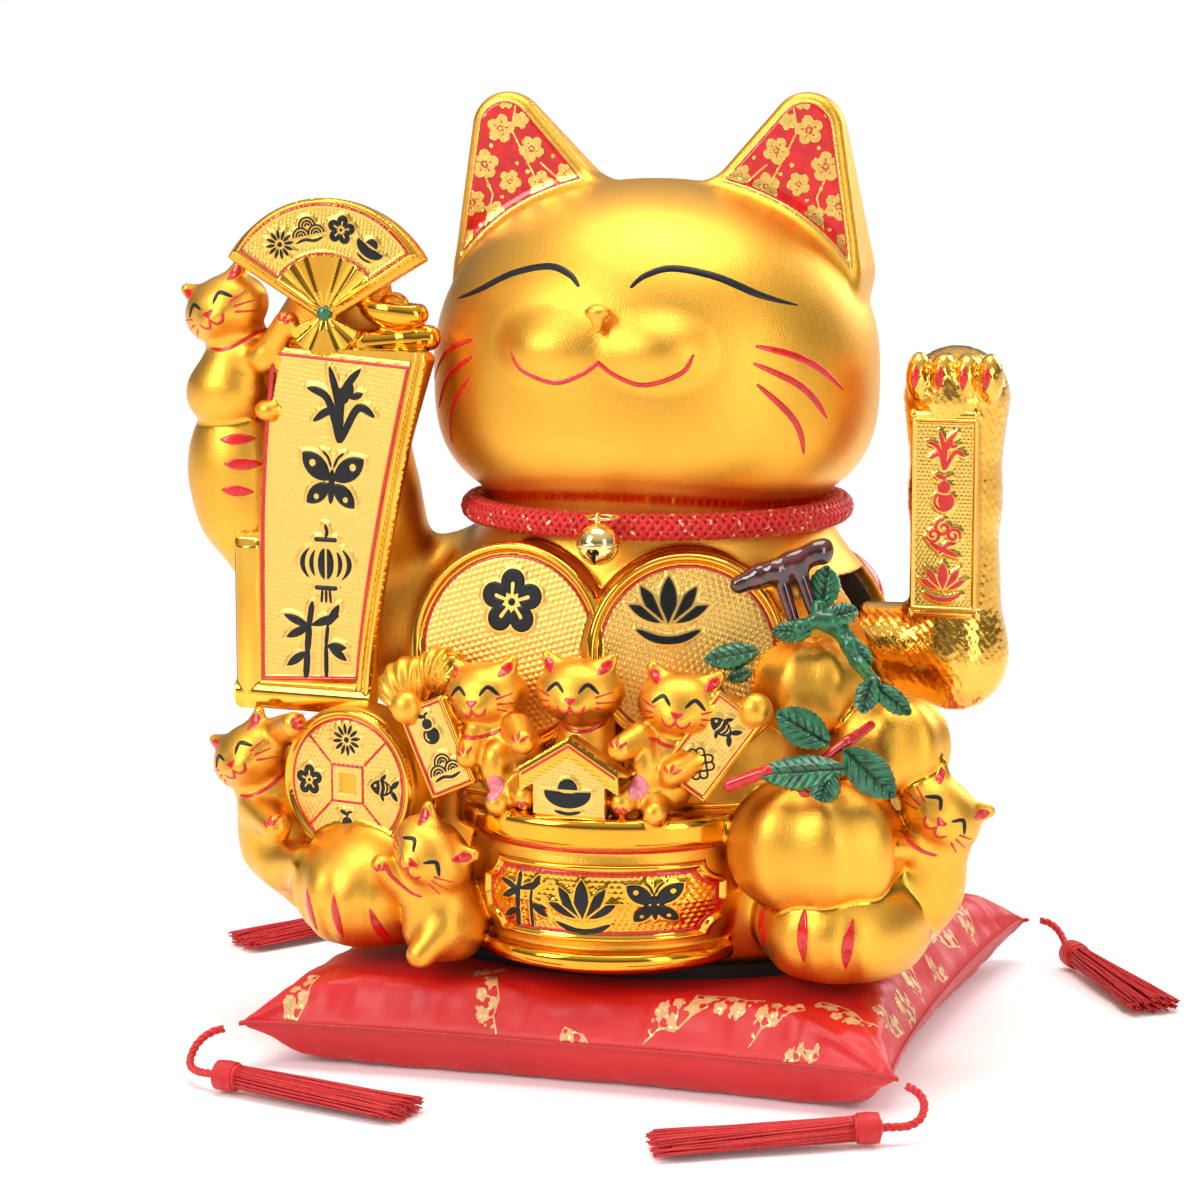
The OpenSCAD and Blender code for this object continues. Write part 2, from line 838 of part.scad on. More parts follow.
module battery_door() {
    color("ivory") {
        translate([-37.5, 64.4, 10]) cube([50, 2.2, 36]);
        difference() {
            union() {
                translate([-37.5, 66, 47.2]) rotate([0, 90, 0]) cylinder(r = 1.7, h = 50, $fn = fine);
                translate([-37.5, 64.4, 44]) cube([50, 2.2, 3.2]);
            }
            translate([-60, 60, 49.2]) cube([100, 10, 10]);
        }
        translate([-40.8, 66, 47.2]) rotate([0, 90, 0]) cylinder(r = 1, h = 56.6, $fn = fine);
        translate([-18, 66.6, 12]) cube([11, 1.6, 3]);
    }
}

module power_socket() {
    color("black") translate([36, 54, 18]) rotate([-90, 0, 0]) {
        difference() {
            union() {
                cylinder(r = 4, h = 10, $fn = fine);
                translate([0, 0, 10]) cylinder(r = 5.2, h = 1.4, $fn = fine);
            }
            translate([0, 0, 1.5]) cylinder(r = 2.75, h = 20, $fn = fine);
        }
        cylinder(r = 1, h = 9, $fn = fine);
    }
}

module switch_knob() {
    color("black") translate([25.3, 60, 28]) {
        cube([3.4, 5.5, 5]);
        translate([-2, -1.6, -2]) cube([7.4, 2.4, 9]);
    }
}

// ---------- what is drawn ----------

cushion_cover();
cushion_filling();
tassel_cord(front_left_route);  // tassel_cord_front_left
tassel_cord(front_right_route);  // tassel_cord_front_right
tassel_cord(back_left_route);  // tassel_cord_back_left
tassel_cord(back_right_route);  // tassel_cord_back_right
tassels();
on_cushion() base_pad();
on_cushion() base_plate();
on_cushion() body_shell();
on_cushion() raised_arm();
on_cushion() scroll_plaque();
on_cushion() fan_crest();
on_cushion() ingots();
on_cushion() fan_kitten();
on_cushion() left_medallion();
on_cushion() right_medallion();
on_cushion() fortune_coin();
on_cushion() coin_kitten();
on_cushion() foot_kitten();
on_cushion() left_foot();
on_cushion() right_foot();
on_cushion() left_banner();
on_cushion() right_banner();
on_cushion() row_kittens();
on_cushion() house_tablet();
on_cushion() treasure_bowl();
on_cushion() persimmon_top();
on_cushion() persimmon_side();
on_cushion() persimmon_front();
on_cushion() persimmon_kitten();
on_cushion() leaves();
on_cushion() branch();
on_cushion() twig();
on_cushion() back_pouch();
on_cushion() neck_rope();
on_cushion() rope_clasp();
on_cushion() bell_staple();
on_cushion() bell_ring();
on_cushion() bell_upper();
on_cushion() bell_lower();
on_cushion() bell_pellet();
on_cushion() arm_front_shell();
on_cushion() arm_back_shell();
on_cushion() arm_scroll();
on_cushion() arm_shaft();
on_cushion() swing_lever();
on_cushion() counterweight();
on_cushion() drive_frame();
on_cushion() drive_coil();
on_cushion() circuit_board();
on_cushion() frame_screws();
on_cushion() battery_box();
on_cushion() batteries();
on_cushion() battery_contacts();
on_cushion() battery_door();
on_cushion() power_socket();
on_cushion() switch_knob();
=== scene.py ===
# Looks of the beckoning cat figurine. The ceramic casting is sculpted as one blended solid and cut into its
# named sprigs; every relief, stroke of enamel, cord, thread and cushion is built on it in mesh code.
import json
import math
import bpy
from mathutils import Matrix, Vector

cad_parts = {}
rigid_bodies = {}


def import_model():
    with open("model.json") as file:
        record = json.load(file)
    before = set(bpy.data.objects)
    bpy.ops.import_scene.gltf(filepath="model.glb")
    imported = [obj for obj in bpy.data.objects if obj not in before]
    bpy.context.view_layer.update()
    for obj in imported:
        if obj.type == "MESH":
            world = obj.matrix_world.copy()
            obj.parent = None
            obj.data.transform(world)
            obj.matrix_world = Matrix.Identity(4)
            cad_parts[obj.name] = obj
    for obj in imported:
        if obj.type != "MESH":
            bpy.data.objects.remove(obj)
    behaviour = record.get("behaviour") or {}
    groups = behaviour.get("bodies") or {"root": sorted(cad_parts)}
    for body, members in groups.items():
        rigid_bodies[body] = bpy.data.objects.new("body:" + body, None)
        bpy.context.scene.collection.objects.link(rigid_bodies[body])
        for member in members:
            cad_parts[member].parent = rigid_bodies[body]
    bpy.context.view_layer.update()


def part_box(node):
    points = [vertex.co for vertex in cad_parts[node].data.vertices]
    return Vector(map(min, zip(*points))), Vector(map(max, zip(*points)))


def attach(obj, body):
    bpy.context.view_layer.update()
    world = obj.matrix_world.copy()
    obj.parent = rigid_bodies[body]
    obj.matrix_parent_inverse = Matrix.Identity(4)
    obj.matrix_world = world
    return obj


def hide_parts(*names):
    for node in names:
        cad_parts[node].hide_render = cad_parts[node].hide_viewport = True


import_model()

from concurrent.futures import ThreadPoolExecutor

import bpy
import numpy as np
from mathutils import Vector
from mathutils.bvhtree import BVHTree

MM = 0.001
BASE = np.array([0.0, 0.0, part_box("base_pad")[0].z / MM])   # the cat's own frame starts under its felt


# ---------- camera ----------

def look_from(place, tilt_down, turn):
    camera = bpy.data.objects.new("camera", bpy.data.cameras.new("camera"))
    bpy.context.scene.collection.objects.link(camera)
    camera.location = place
    camera.rotation_euler = (math.radians(90 - tilt_down), 0, math.radians(turn))
    camera.data.lens = 107.85
    camera.data.sensor_width = 36
    camera.data.clip_end = 20
    bpy.context.scene.camera = camera


look_from((0.3558, -1.2191, 0.3392), 8.42, 17.19)


# ---------- cords: where each tassel's cord runs, in mm on the table ----------

TASSEL_ROUTES = {
    "front_left": [(-119, -119, 15), (-121.5, -121.5, 14.6), (-124, -124.5, 13), (-125.5, -128, 10.5),
                   (-125.5, -132, 7.5), (-123.5, -136, 6), (-120, -139, 5.6), (-116, -141, 5.8), (-112,
                           -142, 6), (-103, -143.4, 6)],
    "front_right": [(119, -119, 15), (121.5, -120.5, 14.6), (124.5, -122.5, 13), (126, -125.5, 10.5),
                    (125.5, -129.5, 7.8), (122.5, -132.5, 6.2), (118.5, -134.5, 6), (114.5, -136.3, 6),
                    (106.2, -140, 6)],
    "back_left": [(-119, 119, 15), (-121.5, 119.5, 14.6), (-125, 118.5, 13), (-128, 115.5, 10.5),
                  (-129.5, 111.5, 8), (-130.5, 107, 6.4), (-131.8, 103, 6), (-134, 99.5, 6), (-139.8, 92.6,
                          6)],
    "back_right": [(119, 119, 15), (121.5, 119.5, 14.6), (124.5, 119.3, 13), (127, 118, 10.8),
                   (129, 115.5, 8.5), (130.6, 112.5, 7), (132, 109.6, 6), (137.2, 102.2, 6)], }


# ---------- distance fields, in mm, in the cat's own frame ----------

def ball(p, centre, half):
    """Distance to an ellipsoid, close to true near its surface."""
    half = np.asarray(half, float)
    q = (p - np.asarray(centre, float)) / half
    k0 = np.sqrt((q * q).sum(1)) + 1e-9
    k1 = np.sqrt(((q / half) ** 2).sum(1)) + 1e-9
    return k0 * (k0 - 1) / k1


def limb(p, a, b, ra, rb, flat=(1, 1, 1)):
    """Distance to a tapered round limb; flat squeezes it along the axes."""
    flat = np.asarray(flat, float)
    a = np.asarray(a, float) / flat
    b = np.asarray(b, float) / flat
    q = p / flat - a
    run = b - a
    t = np.clip((q @ run) / (run @ run), 0, 1)
    away = q - t[:, None] * run
    return (np.sqrt((away * away).sum(1)) - (ra + (rb - ra) * t)) * flat.min()


def chain(p, points, radii, k=4.0):
    """Limbs through a row of points, melted where they meet."""
    d = None
    for a, b, ra, rb in zip(points, points[1:], radii, radii[1:]):
        piece = limb(p, a, b, ra, rb)
        d = piece if d is None else melt(d, piece, k)
    return d


def block(p, centre, half, round_by=0.0):
    q = np.abs(p - np.asarray(centre, float)) - (np.asarray(half, float) - round_by)
    outside = np.sqrt((np.maximum(q, 0) ** 2).sum(1))
    return outside + np.minimum(q.max(1), 0) - round_by


def puck(p, centre, radii, half_thick, round_by):
    """Distance to an oval disc whose faces look along Y."""
    q = p - np.asarray(centre, float)
    rx, rz = radii
    r = np.hypot(q[:, 0] / rx, q[:, 2] / rz)
    side = (r - 1) * min(rx, rz)
    return meet(side, np.abs(q[:, 1]) - half_thick, round_by)


def melt(a, b, k):
    """Union with a fillet of about k."""
    h = np.maximum(k - np.abs(a - b), 0) / k
    return np.minimum(a, b) - h * h * k / 4


def meet(a, b, k):
    """Intersection with a rounded edge of about k."""
    return -melt(-a, -b, k)


def melt_all(parts, k):
    d = parts[0]
    for other in parts[1:]:
        d = melt(d, other, k)
    return d


def turn_matrix(yaw=0, roll=0, pitch=0):
    """Columns are the axes of a frame turned by yaw (Z), then pitch (X), then roll (Y), in degrees."""
    cz, sz = math.cos(math.radians(yaw)), math.sin(math.radians(yaw))
    cx, sx = math.cos(math.radians(pitch)), math.sin(math.radians(pitch))
    cy, sy = math.cos(math.radians(roll)), math.sin(math.radians(roll))
    mz = np.array([[cz, -sz, 0], [sz, cz, 0], [0, 0, 1]])
    mx = np.array([[1, 0, 0], [0, cx, -sx], [0, sx, cx]])
    my = np.array([[cy, 0, sy], [0, 1, 0], [-sy, 0, cy]])
    return mz @ mx @ my


class Place:
    """A flat working frame: u right, v up, h out of its face, which looks along -Y before it is turned."""

    def __init__(self, origin, yaw=0, roll=0, pitch=0):
        self.origin = np.asarray(origin, float)
        self.axes = turn_matrix(yaw, roll, pitch)
        self.right, self.out, self.up = self.axes[:, 0], -self.axes[:, 1], self.axes[:, 2]

    def local(self, p):
        return (p - self.origin) @ self.axes

    def world(self, u, v, h):
        u, v, h = np.broadcast_arrays(u, v, h)
        return self.origin + u[..., None] * self.right + v[..., None] * self.up + h[..., None] * self.out


# ---------- the cat's own form ----------

def torso(p):
    squat = p.copy()
    squat[:, 2] = np.where(p[:, 2] < 44, 44 + (p[:, 2] - 44) * .68, p[:, 2])
    d = melt(ball(squat, (0, 0, 44), (98.5, 84, 60)), ball(p, (0, 0, 98), (87, 74, 66)), 22)
    d = melt(d, limb(p, (0, 0, 120), (0, 0, 190), 60, 59), 12)
    twig_mound = limb(p, (44, -36, 122), (65, -58, 134), 12, 6.5)
    d = melt(d, twig_mound, 8)
    for disc, radius in ((LEFT_DISC, 37), (RIGHT_DISC, 34.6)):
        q = disc.local(p)
        before_it = np.maximum(np.hypot(q[:, 0], q[:, 2]) - radius, q[:, 1] + 4.4)
        d = meet(d, -before_it, 1)
    return meet(d, 4.0 - p[:, 2], 5)


EAR_OUTLINE = ((54.5, 286), (61.5, 238), (24, 252))      # (x, z) of the ear's round corners
EAR_FRONT, EAR_CORNER = -6.5, 13


def ear(p):
    """A rounded triangle, flat in front and thicker towards its root, the same on both sides of the head."""
    x, y, z = np.abs(p[:, 0]), p[:, 1], p[:, 2]
    outline = outline2(EAR_OUTLINE)(x, z) - EAR_CORNER
    half = 6 + 9 * np.clip((300 - z) / 60, 0, 1.2)
    back = y - (EAR_FRONT + 2 * half)
    d = meet(meet(outline, back * .94, 9), EAR_FRONT - y, 4)
    return np.maximum(d, 222 - z)


HEAD_MIDDLE = 203


def head(p):
    """A wide bun: full jowls below its widest level, a rounder crown above, with two puffed cheeks."""
    below = p[:, 2] < HEAD_MIDDLE
    across = np.hypot(p[:, 0] / 79.4, (p[:, 1] + 2) / 69)
    up = np.abs(p[:, 2] - HEAD_MIDDLE) / np.where(below, 51.5, 66)
    power = np.where(below, 3.1, 2.15)
    d = ((across ** power + up ** power + 1e-9) ** (1 / power) - 1) * 62
    d = np.maximum(d, 150 - p[:, 2])
    cheeks = melt(ball(p, (16, -57, 212.5), (20, 16, 13.5)), ball(p, (-16, -57, 212.5), (20, 16, 13.5)), 3)
    d = melt(d, cheeks, 5)
    nose = melt(ball(p, (0, -71.5, 226.4), (4.6, 3.4, 2.3)), limb(p, (0, -71.5, 226), (0, -72.5, 221.0),
                                                                  2.7, 1.5), 2)
    return melt(d, nose, 1.5)


def raised_arm(p):
    d = limb(p, (-60, 0, 118), (-104, -9, 107), 27, 24)
    d = melt(d, limb(p, (-104, -11, 108), (-114, -20, 150), 25, 25, (1.12, .82, 1)), 10)
    d = melt(d, limb(p, (-114, -20, 150), (-110, -25, 206), 26, 21, (1.12, .78, 1)), 10)
    paw = melt(ball(p, (-143, -36, 166), (20.5, 19, 29)), limb(p, (-140, -36, 148), (-129, -32, 118), 16,
                                                               11), 9)
    d = melt(d, paw, 7)
    top = limb(p, (-110, -31, 210), (-103, -37, 240), 13, 8, (1.9, 1, 1))
    return melt(d, top, 8)


PLAQUE = Place((-104, -49, 147), yaw=-6)
FAN = Place((-104, -49, 223))
COIN = Place((-89, -66, 61), yaw=-13)
LEFT_DISC = Place((-32, -64, 110), yaw=-6, pitch=-9)
RIGHT_DISC = Place((29, -62, 111), yaw=14, pitch=-9)
LEFT_SLIP = Place((-49, -88, 80), yaw=-6, roll=-24)
RIGHT_SLIP = Place((44, -84, 85), yaw=10, roll=36)
HOUSE = Place((0, -104, 61.2))
BOWL_AT = (2.0, -58.0)


def slab(p, place, half, round_by=2.0, centre=(0, 0, 0)):
    return block(place.local(p), centre, half, round_by)


def scroll_plaque(p):
    q = PLAQUE.local(p)
    lean = np.clip((q[:, 2] + 30) / 90, 0, 1)
    right = 15 + 23 * lean ** 1.3
    left = np.where(q[:, 2] > -2, -25 + 6 * np.clip(q[:, 2] / 60, 0, 1), -35.5)
    across = np.maximum(q[:, 0] - right, left - q[:, 0])
    d = meet(across, np.abs(q[:, 2]) - 63.2, 3)
    return meet(d, np.abs(q[:, 1] + 0.5) - 6.2, 3)


def fan_sector(u, v, radius, half_angle):
    """Flat distance to a fan leaf that opens upward from the origin."""
    r = np.hypot(u, v)
    edge = np.abs(u) * math.cos(half_angle) - v * math.sin(half_angle)
    return np.maximum(r - radius, edge)


def fan_crest(p):
    q = FAN.local(p)
    leaf = meet(fan_sector(q[:, 0], q[:, 2] + 3.5, 43, 1.03), np.abs(q[:, 1] + 3.5) - 3.0, 2)
    lower = meet(fan_sector(q[:, 0], -q[:, 2] - 1, 14, 1.2), np.abs(q[:, 1] + 3.5) - 3.4, 2)
    return melt(leaf, lower, 2)


def boat_ingot(p, at, size, yaw, roll=0):
    """A sycee: an oval boat with upswept ends and a dome in the middle."""
    q = Place(at, yaw=yaw, roll=roll).local(p) / size
    hull = ball(q, (0, 0, 0), (1.0, .6, .5))
    scoop = ball(q, (0, 0, .62), (.92, .75, .5))
    boat = meet(hull, -scoop, .12)
    return melt(boat, ball(q, (0, 0, .12), (.42, .38, .38)), .1) * size


def ingots(p):
    d = boat_ingot(p, (-81, -49, 224), 13, -6, 8)
    roll = chain(p, [(-93, -50, 212.5), (-70, -45, 214.5)], [4.6, 4.6])
    rings = limb(p, (-76.5, -46.5, 214), (-75, -46, 214), 5.6, 5.6)
    d = melt_all([d, melt(roll, rings, .8)], 2)
    shells = [shell_lobe(p, (-66, -78, 98), 11.5, -30), shell_lobe(p, (-52, -80, 104), 9.5, 25)]
    return melt_all([d] + shells, 1.5)


def shell_lobe(p, at, size, roll):
    """A fluted shell of coins, ridged from its hinge outward."""
    q = Place(at, yaw=-8, roll=roll).local(p)
    angle = np.arctan2(q[:, 2] + size, q[:, 0])
    flutes = .45 * np.cos(angle * 22)
    return ball(q, (0, 0, 0), (size, 7.5, size * .82)) - flutes


# ---------- kittens and fruit ----------

def kitten_head(p, at, r, yaw=0, roll=0, pitch=0):
    q = Place(at, yaw, roll, pitch).local(p) / r
    d = melt(ball(q, (0, 0, -.05), (1.1, .88, .82)), ball(q, (0, -.66, -.28), (.42, .32, .25)), .22)
    side = np.stack([np.abs(q[:, 0]), q[:, 1], q[:, 2]], 1)
    return melt(d, limb(side, (.58, -.05, .5), (.82, -.05, .78), .34, .16, (1, .7, 1)), .12) * r


KITTENS = {
    "fan_kitten": dict(at=(-145, -46, 224), r=14.5, roll=-24, yaw=-8),
    "coin_kitten": dict(at=(-132, -60, 67), r=14, roll=-31, yaw=-14),
    "foot_kitten": dict(at=(-51, -95, 44), r=13.8, roll=41, yaw=-8),
    "persimmon_kitten": dict(at=(117, -61, 62), r=13.8, roll=44, yaw=16),
    "row_kitten_a": dict(at=(-35.5, -84.5, 98), r=13.4, roll=-5, yaw=-5),
    "row_kitten_b": dict(at=(-1, -88, 101.5), r=13.6, roll=0, yaw=2),
    "row_kitten_c": dict(at=(33.5, -84.5, 98), r=13.6, roll=7, yaw=8),
}


def fan_kitten(p):
    d = chain(p, [(-142, -42, 212), (-144, -42, 196)], [10.5, 13.5])
    d = melt(d, ball(p, (-146, -42, 193), (15.5, 13, 13)), 5)
    d = melt(d, chain(p, [(-138, -46, 207), (-128, -51, 207), (-119, -54, 219)], [6, 5, 4.6], 3), 4)
    d = melt(d, ball(p, (-126.5, -53, 188.5), (5, 4.5, 4)), 3)
    return melt(d, kitten_head(p, **KITTENS["fan_kitten"]), 3)


def coin_kitten(p):
    d = chain(p, [(-127, -52, 54), (-121, -48, 36), (-112, -46, 22)], [14, 18, 15], 8)
    d = melt(d, limb(p, (-120, -62, 76), (-110, -74, 81), 5.6, 4.6), 4)
    d = melt(d, limb(p, (-129, -62, 48), (-117, -74, 44), 6.5, 5.2), 4)
    d = melt(d, limb(p, (-119, -62, 28), (-106, -76, 33), 9, 5.5), 5)
    return melt(d, kitten_head(p, **KITTENS["coin_kitten"]), 3)


def foot_kitten(p):
    d = chain(p, [(-52, -90, 33), (-50, -87, 18)], [12, 15], 6)
    d = melt(d, limb(p, (-60, -94, 30), (-68, -99, 39), 5.4, 4.2), 4)
    d = melt(d, limb(p, (-47, -97, 18), (-53, -103, 10), 6, 5), 4)
    d = meet(d, 5.0 - p[:, 2], 3)
    return melt(d, kitten_head(p, **KITTENS["foot_kitten"]), 3)


def persimmon_kitten(p):
    d = chain(p, [(114, -56, 50), (107, -52, 34), (103, -49, 24)], [12, 14.5, 13], 7)
    d = melt(d, limb(p, (110, -63, 49), (103, -76, 52), 5.4, 4.6), 4)
    d = melt(d, limb(p, (104, -62, 36), (98, -75, 36), 6, 5), 4)
    return melt(d, kitten_head(p, **KITTENS["persimmon_kitten"]), 3)


def row_kittens(p):
    heads = [kitten_head(p, **KITTENS["row_kitten_" + which]) for which in "abc"]
    d = melt_all(heads, 1.5)
    bodies = [chain(p, [(x0, -80, 92), (x1, -84, 76), (x1, -84, 70)], [9, 11, 10], 4)
              for x0, x1 in ((-33, -27), (-1, 0), (31, 27))]
    d = melt(d, melt_all(bodies, 2), 2.5)
    arms = [((-22, -93, 88), (-17, -101, 85)), ((21, -93, 87), (17, -101, 84.5)),
            ((-37, -88, 86), (-38, -96, 78)),
            ((-21, -92, 68), (-17, -99, 66)), ((21, -92, 69), (17, -99, 66)), ((39, -88, 80), (33, -95, 76)),
            ((-26, -95, 64), (-27, -98, 63)), ((27, -95, 64), (28, -98, 63))]
    for a, b in arms:
        d = melt(d, limb(p, a, b, 5.2, 4.3), 2.5)
    tails = [ball(p, (-29, -94, 75), (5.2, 5, 8)), ball(p, (23.5, -94, 77), (5, 5, 8.5))]
    return melt(d, melt_all(tails, 1), 2)


def left_banner(p):
    return melt(slab(p, LEFT_SLIP, (8.6, 6.2, 15.6), 1.6), ball(p, (-61, -93, 93), (5.6, 5, 5.8)), 2)


def right_banner(p):
    return melt(slab(p, RIGHT_SLIP, (9.2, 6.2, 16.6), 1.6), ball(p, (59, -86, 97), (6, 5, 6)), 2)


def house_tablet(p):
    q = p - HOUSE.origin
    walls = block(q, (0, 4, 8.5), (12.6, 3.6, 9), 1.2)
    roof = np.abs(q[:, 0]) * .53 + q[:, 2] * .85 - 23.0
    gable = meet(meet(roof, 13.8 - q[:, 2], 1), np.abs(q[:, 1] - 4) - 3.8, 1.5)
    return melt(walls, gable, 1.5)


def left_medallion(p):
    return puck(LEFT_DISC.local(p), (0, 0, 0), (37.5, 37.0), 5.4, 3)


def right_medallion(p):
    return puck(RIGHT_DISC.local(p), (0, 0, 0), (35, 35), 5.4, 3)


def fortune_coin(p):
    return puck(COIN.local(p), (0, 1, 0), (27.2, 27.2), 7.6, 3)


def paw_foot(p, at, half, toes):
    """A front foot with shallow valleys between its toes."""
    q = p - np.asarray(at, float)
    valleys = sum(np.exp(-((q[:, 0] - t) / 3.2) ** 2) for t in toes)
    forward = np.clip(-q[:, 1] / 24, 0, 1) * np.clip(1 - np.abs(q[:, 2] + 4) / 18, 0, 1)
    return meet(ball(p, at, half) + 1.5 * valleys * forward, 4.0 - p[:, 2], 5)


LEFT_TOES, RIGHT_TOES = (-18, -6.5, 7), (-22, -7, 8)


def left_foot(p):
    return paw_foot(p, (-84, -62, 24), (28.5, 36, 24), LEFT_TOES)


def right_foot(p):
    return paw_foot(p, (84, -60, 22), (30, 36.5, 23), RIGHT_TOES)


def persimmon(p, at, half, lobes, turn, lobe_depth):
    """A lobed fruit with a dimple under its leaf crown."""
    q = (p - np.asarray(at, float)) / np.asarray(half, float)
    angle = np.arctan2(q[:, 1], q[:, 0]) + turn
    radius = np.hypot(q[:, 0], q[:, 1]) + 1e-6
    ribs = lobe_depth * np.cos(lobes * angle) * np.clip(radius * 1.4, 0, 1)
    dimple = 3.2 * np.exp(-(radius / .24) ** 2) * (q[:, 2] > 0)
    squared = (np.abs(q) ** 2.25).sum(1) ** (1 / 2.25)
    return (squared - 1) * min(half) * .93 - ribs + dimple


FRUIT = {
    "persimmon_front": dict(at=(77, -73.5, 50), half=(29, 24.5, 23.5), lobes=8, turn=.45, lobe_depth=.62),
    "persimmon_top": dict(at=(71, -56, 101), half=(20, 17.5, 17), lobes=8, turn=.2, lobe_depth=.4),
    "persimmon_side": dict(at=(98, -56, 82), half=(20, 17, 18), lobes=8, turn=.7, lobe_depth=.4),
}


def treasure_bowl(p):
    q = p - np.array([BOWL_AT[0], BOWL_AT[1], 0])
    z = q[:, 2]
    rx = np.interp(z, (4, 9, 14, 20, 32, 44, 50), (38, 40, 43, 46, 49.5, 49, 47.5))
    side = (np.hypot(q[:, 0] / rx, q[:, 1] / (rx - 3)) - 1) * (rx - 3)
    wall = meet(meet(side, z - 53, 3), 5 - z, 2)
    lip = (np.hypot(q[:, 0] / 53.5, q[:, 1] / 47.5) - 1) * 47.5
    brim = meet(lip, np.abs(z - 55.4) - 5.4, 4)
    foot = (np.hypot(q[:, 0] / 47.5, q[:, 1] / 46.5) - 1) * 46.5
    d = melt(melt(wall, brim, 2.5), meet(foot, np.abs(z - 11.5) - 3.2, 3.2), 3)
    return np.maximum(d, q[:, 1] + 12)


def back_pouch(p):
    folds = .8 * np.cos(np.arctan2(p[:, 1] - 62, p[:, 0] - 42) * 12)
    d = ball(p, (42, 61, 112), (27, 20, 22)) - folds * np.clip((p[:, 2] - 112) / 22, 0, 1)
    return melt(d, limb(p, (38, 62, 128), (33, 62, 139), 8.5, 6), 6)


SPRIGS = {   # name: (its field, fillet to what it grows from)
    "raised_arm": (raised_arm, 7), "scroll_plaque": (scroll_plaque, 2.5), "fan_crest": (fan_crest, 1.6),
    "ingots": (ingots, 1.5), "fan_kitten": (fan_kitten, 2.5), "left_medallion": (left_medallion, 3),
    "right_medallion": (right_medallion, 3), "fortune_coin": (fortune_coin, 2), "coin_kitten": (coin_kitten,
            2.5),
    "left_foot": (left_foot, 5), "right_foot": (right_foot, 5), "foot_kitten": (foot_kitten, 2),
    "treasure_bowl": (treasure_bowl, 2), "left_banner": (left_banner, 1.5), "right_banner": (right_banner,
            1.5),
    "row_kittens": (row_kittens, 2), "house_tablet": (house_tablet, 1),
    "persimmon_top": (lambda p: persimmon(p, **FRUIT["persimmon_top"]), 2),
    "persimmon_side": (lambda p: persimmon(p, **FRUIT["persimmon_side"]), 2),
    "persimmon_front": (lambda p: persimmon(p, **FRUIT["persimmon_front"]), 2),
    "persimmon_kitten": (persimmon_kitten, 2), "back_pouch": (back_pouch, 3),
}
REACH = 9.0     # a sprig's field is worked out this far outside its CAD node's box


def reach_box(node):
    lo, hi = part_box(node)
    return np.array(lo) / MM - BASE - REACH, np.array(hi) / MM - BASE + REACH


REACHES = {name: reach_box(name) for name in SPRIGS}
FAR = 30.0


def shares(p):
    """Each part's own distance at p: one row for the torso, one for the head, one for each sprig."""
    rows = [torso(p), np.full(len(p), FAR)]
    up = p[:, 2] > 140
    if up.any():
        rows[1][up] = head(p[up])
    high = p[:, 2] > 222
    if high.any():
        rows[1][high] = melt(rows[1][high], ear(p[high]), 6)
    for name, (field, _) in SPRIGS.items():
        row = np.full(len(p), FAR)
        lo, hi = REACHES[name]
        near = ((p > lo) & (p < hi)).all(1)
        if near.any():
            row[near] = field(p[near])
        rows.append(row)
    return rows


WALL = 4.5     # of the casting


def openings(p, torso_row):
    """What is left out of the casting: its inside, the shoulder slot, the back window and the open foot."""
    inside = torso_row + WALL
    slot = block(p, (80, 0, 109), (21, 20, 24), 4)
    window = block(p, (0, 75, 30.5), (40, 25, 21.5), 1)
    foot = np.maximum((np.hypot(p[:, 0] / 71.5, p[:, 1] / 57.5) - 1) * 57, p[:, 2] - 12)
    return np.minimum(np.minimum(inside, foot), np.minimum(slot, window))


def casting(p):
    rows = shares(p)
    d = melt(rows[0], rows[1], 5)
    for row, (_, fillet) in zip(rows[2:], SPRIGS.values()):
        d = melt(d, row, fillet)
    return meet(d, -openings(p, rows[0]), 1.2)


# ---------- from field to mesh ----------

CHUNK = 120000
TETRA = np.array([(1, 1, 1), (1, -1, -1), (-1, 1, -1), (-1, -1, 1)], float)


def spread_out(field, p):
    """field(p), worked out in slices on every core."""
    slices = [p[i:i + CHUNK] for i in range(0, len(p), CHUNK)]
    with ThreadPoolExecutor(4) as crew:
        return np.concatenate(list(crew.map(field, slices)))


def slope(field, p, eps=0.2):
    """Unit outward normals of field at p."""
    return rise(field, p, eps)[0]


def rise(field, p, eps=0.2):
    """Unit outward normals of field at p, and how fast it grows along them."""
    ways = spread_out(field, np.concatenate([p + eps * t for t in TETRA])).reshape(4, -1)
    n = (ways[:, :, None] * TETRA[:, None, :]).sum(0)
    size = np.linalg.norm(n, axis=1) + 1e-12
    return n / size[:, None], size / (4 * eps)


SIDE = 8    # cells along a block's edge


def sample_blocks(field, lo, counts, step):
    """field on a grid: worked out near its surface, and filled with a block's middle value elsewhere."""
    blocks = -(-counts // SIDE)
    where = np.stack(np.meshgrid(*[np.arange(b) for b in blocks], indexing="ij"), -1).reshape(-1, 3)
    middle = spread_out(field, lo + (where + 0.5) * SIDE * step)
    grid = np.repeat(np.repeat(np.repeat(middle.reshape(blocks), SIDE, 0), SIDE, 1), SIDE,
                     2).astype(np.float32)
    near = where[np.abs(middle) < SIDE * step * 1.05 + 2.5]
    inner = np.stack(np.meshgrid(*[np.arange(SIDE)] * 3, indexing="ij"), -1).reshape(-1, 3)
    cells = (near[:, None, :] * SIDE + inner[None]).reshape(-1, 3)
    grid[cells[:, 0], cells[:, 1], cells[:, 2]] = spread_out(field, lo + (cells + 0.5) * step)
    return grid


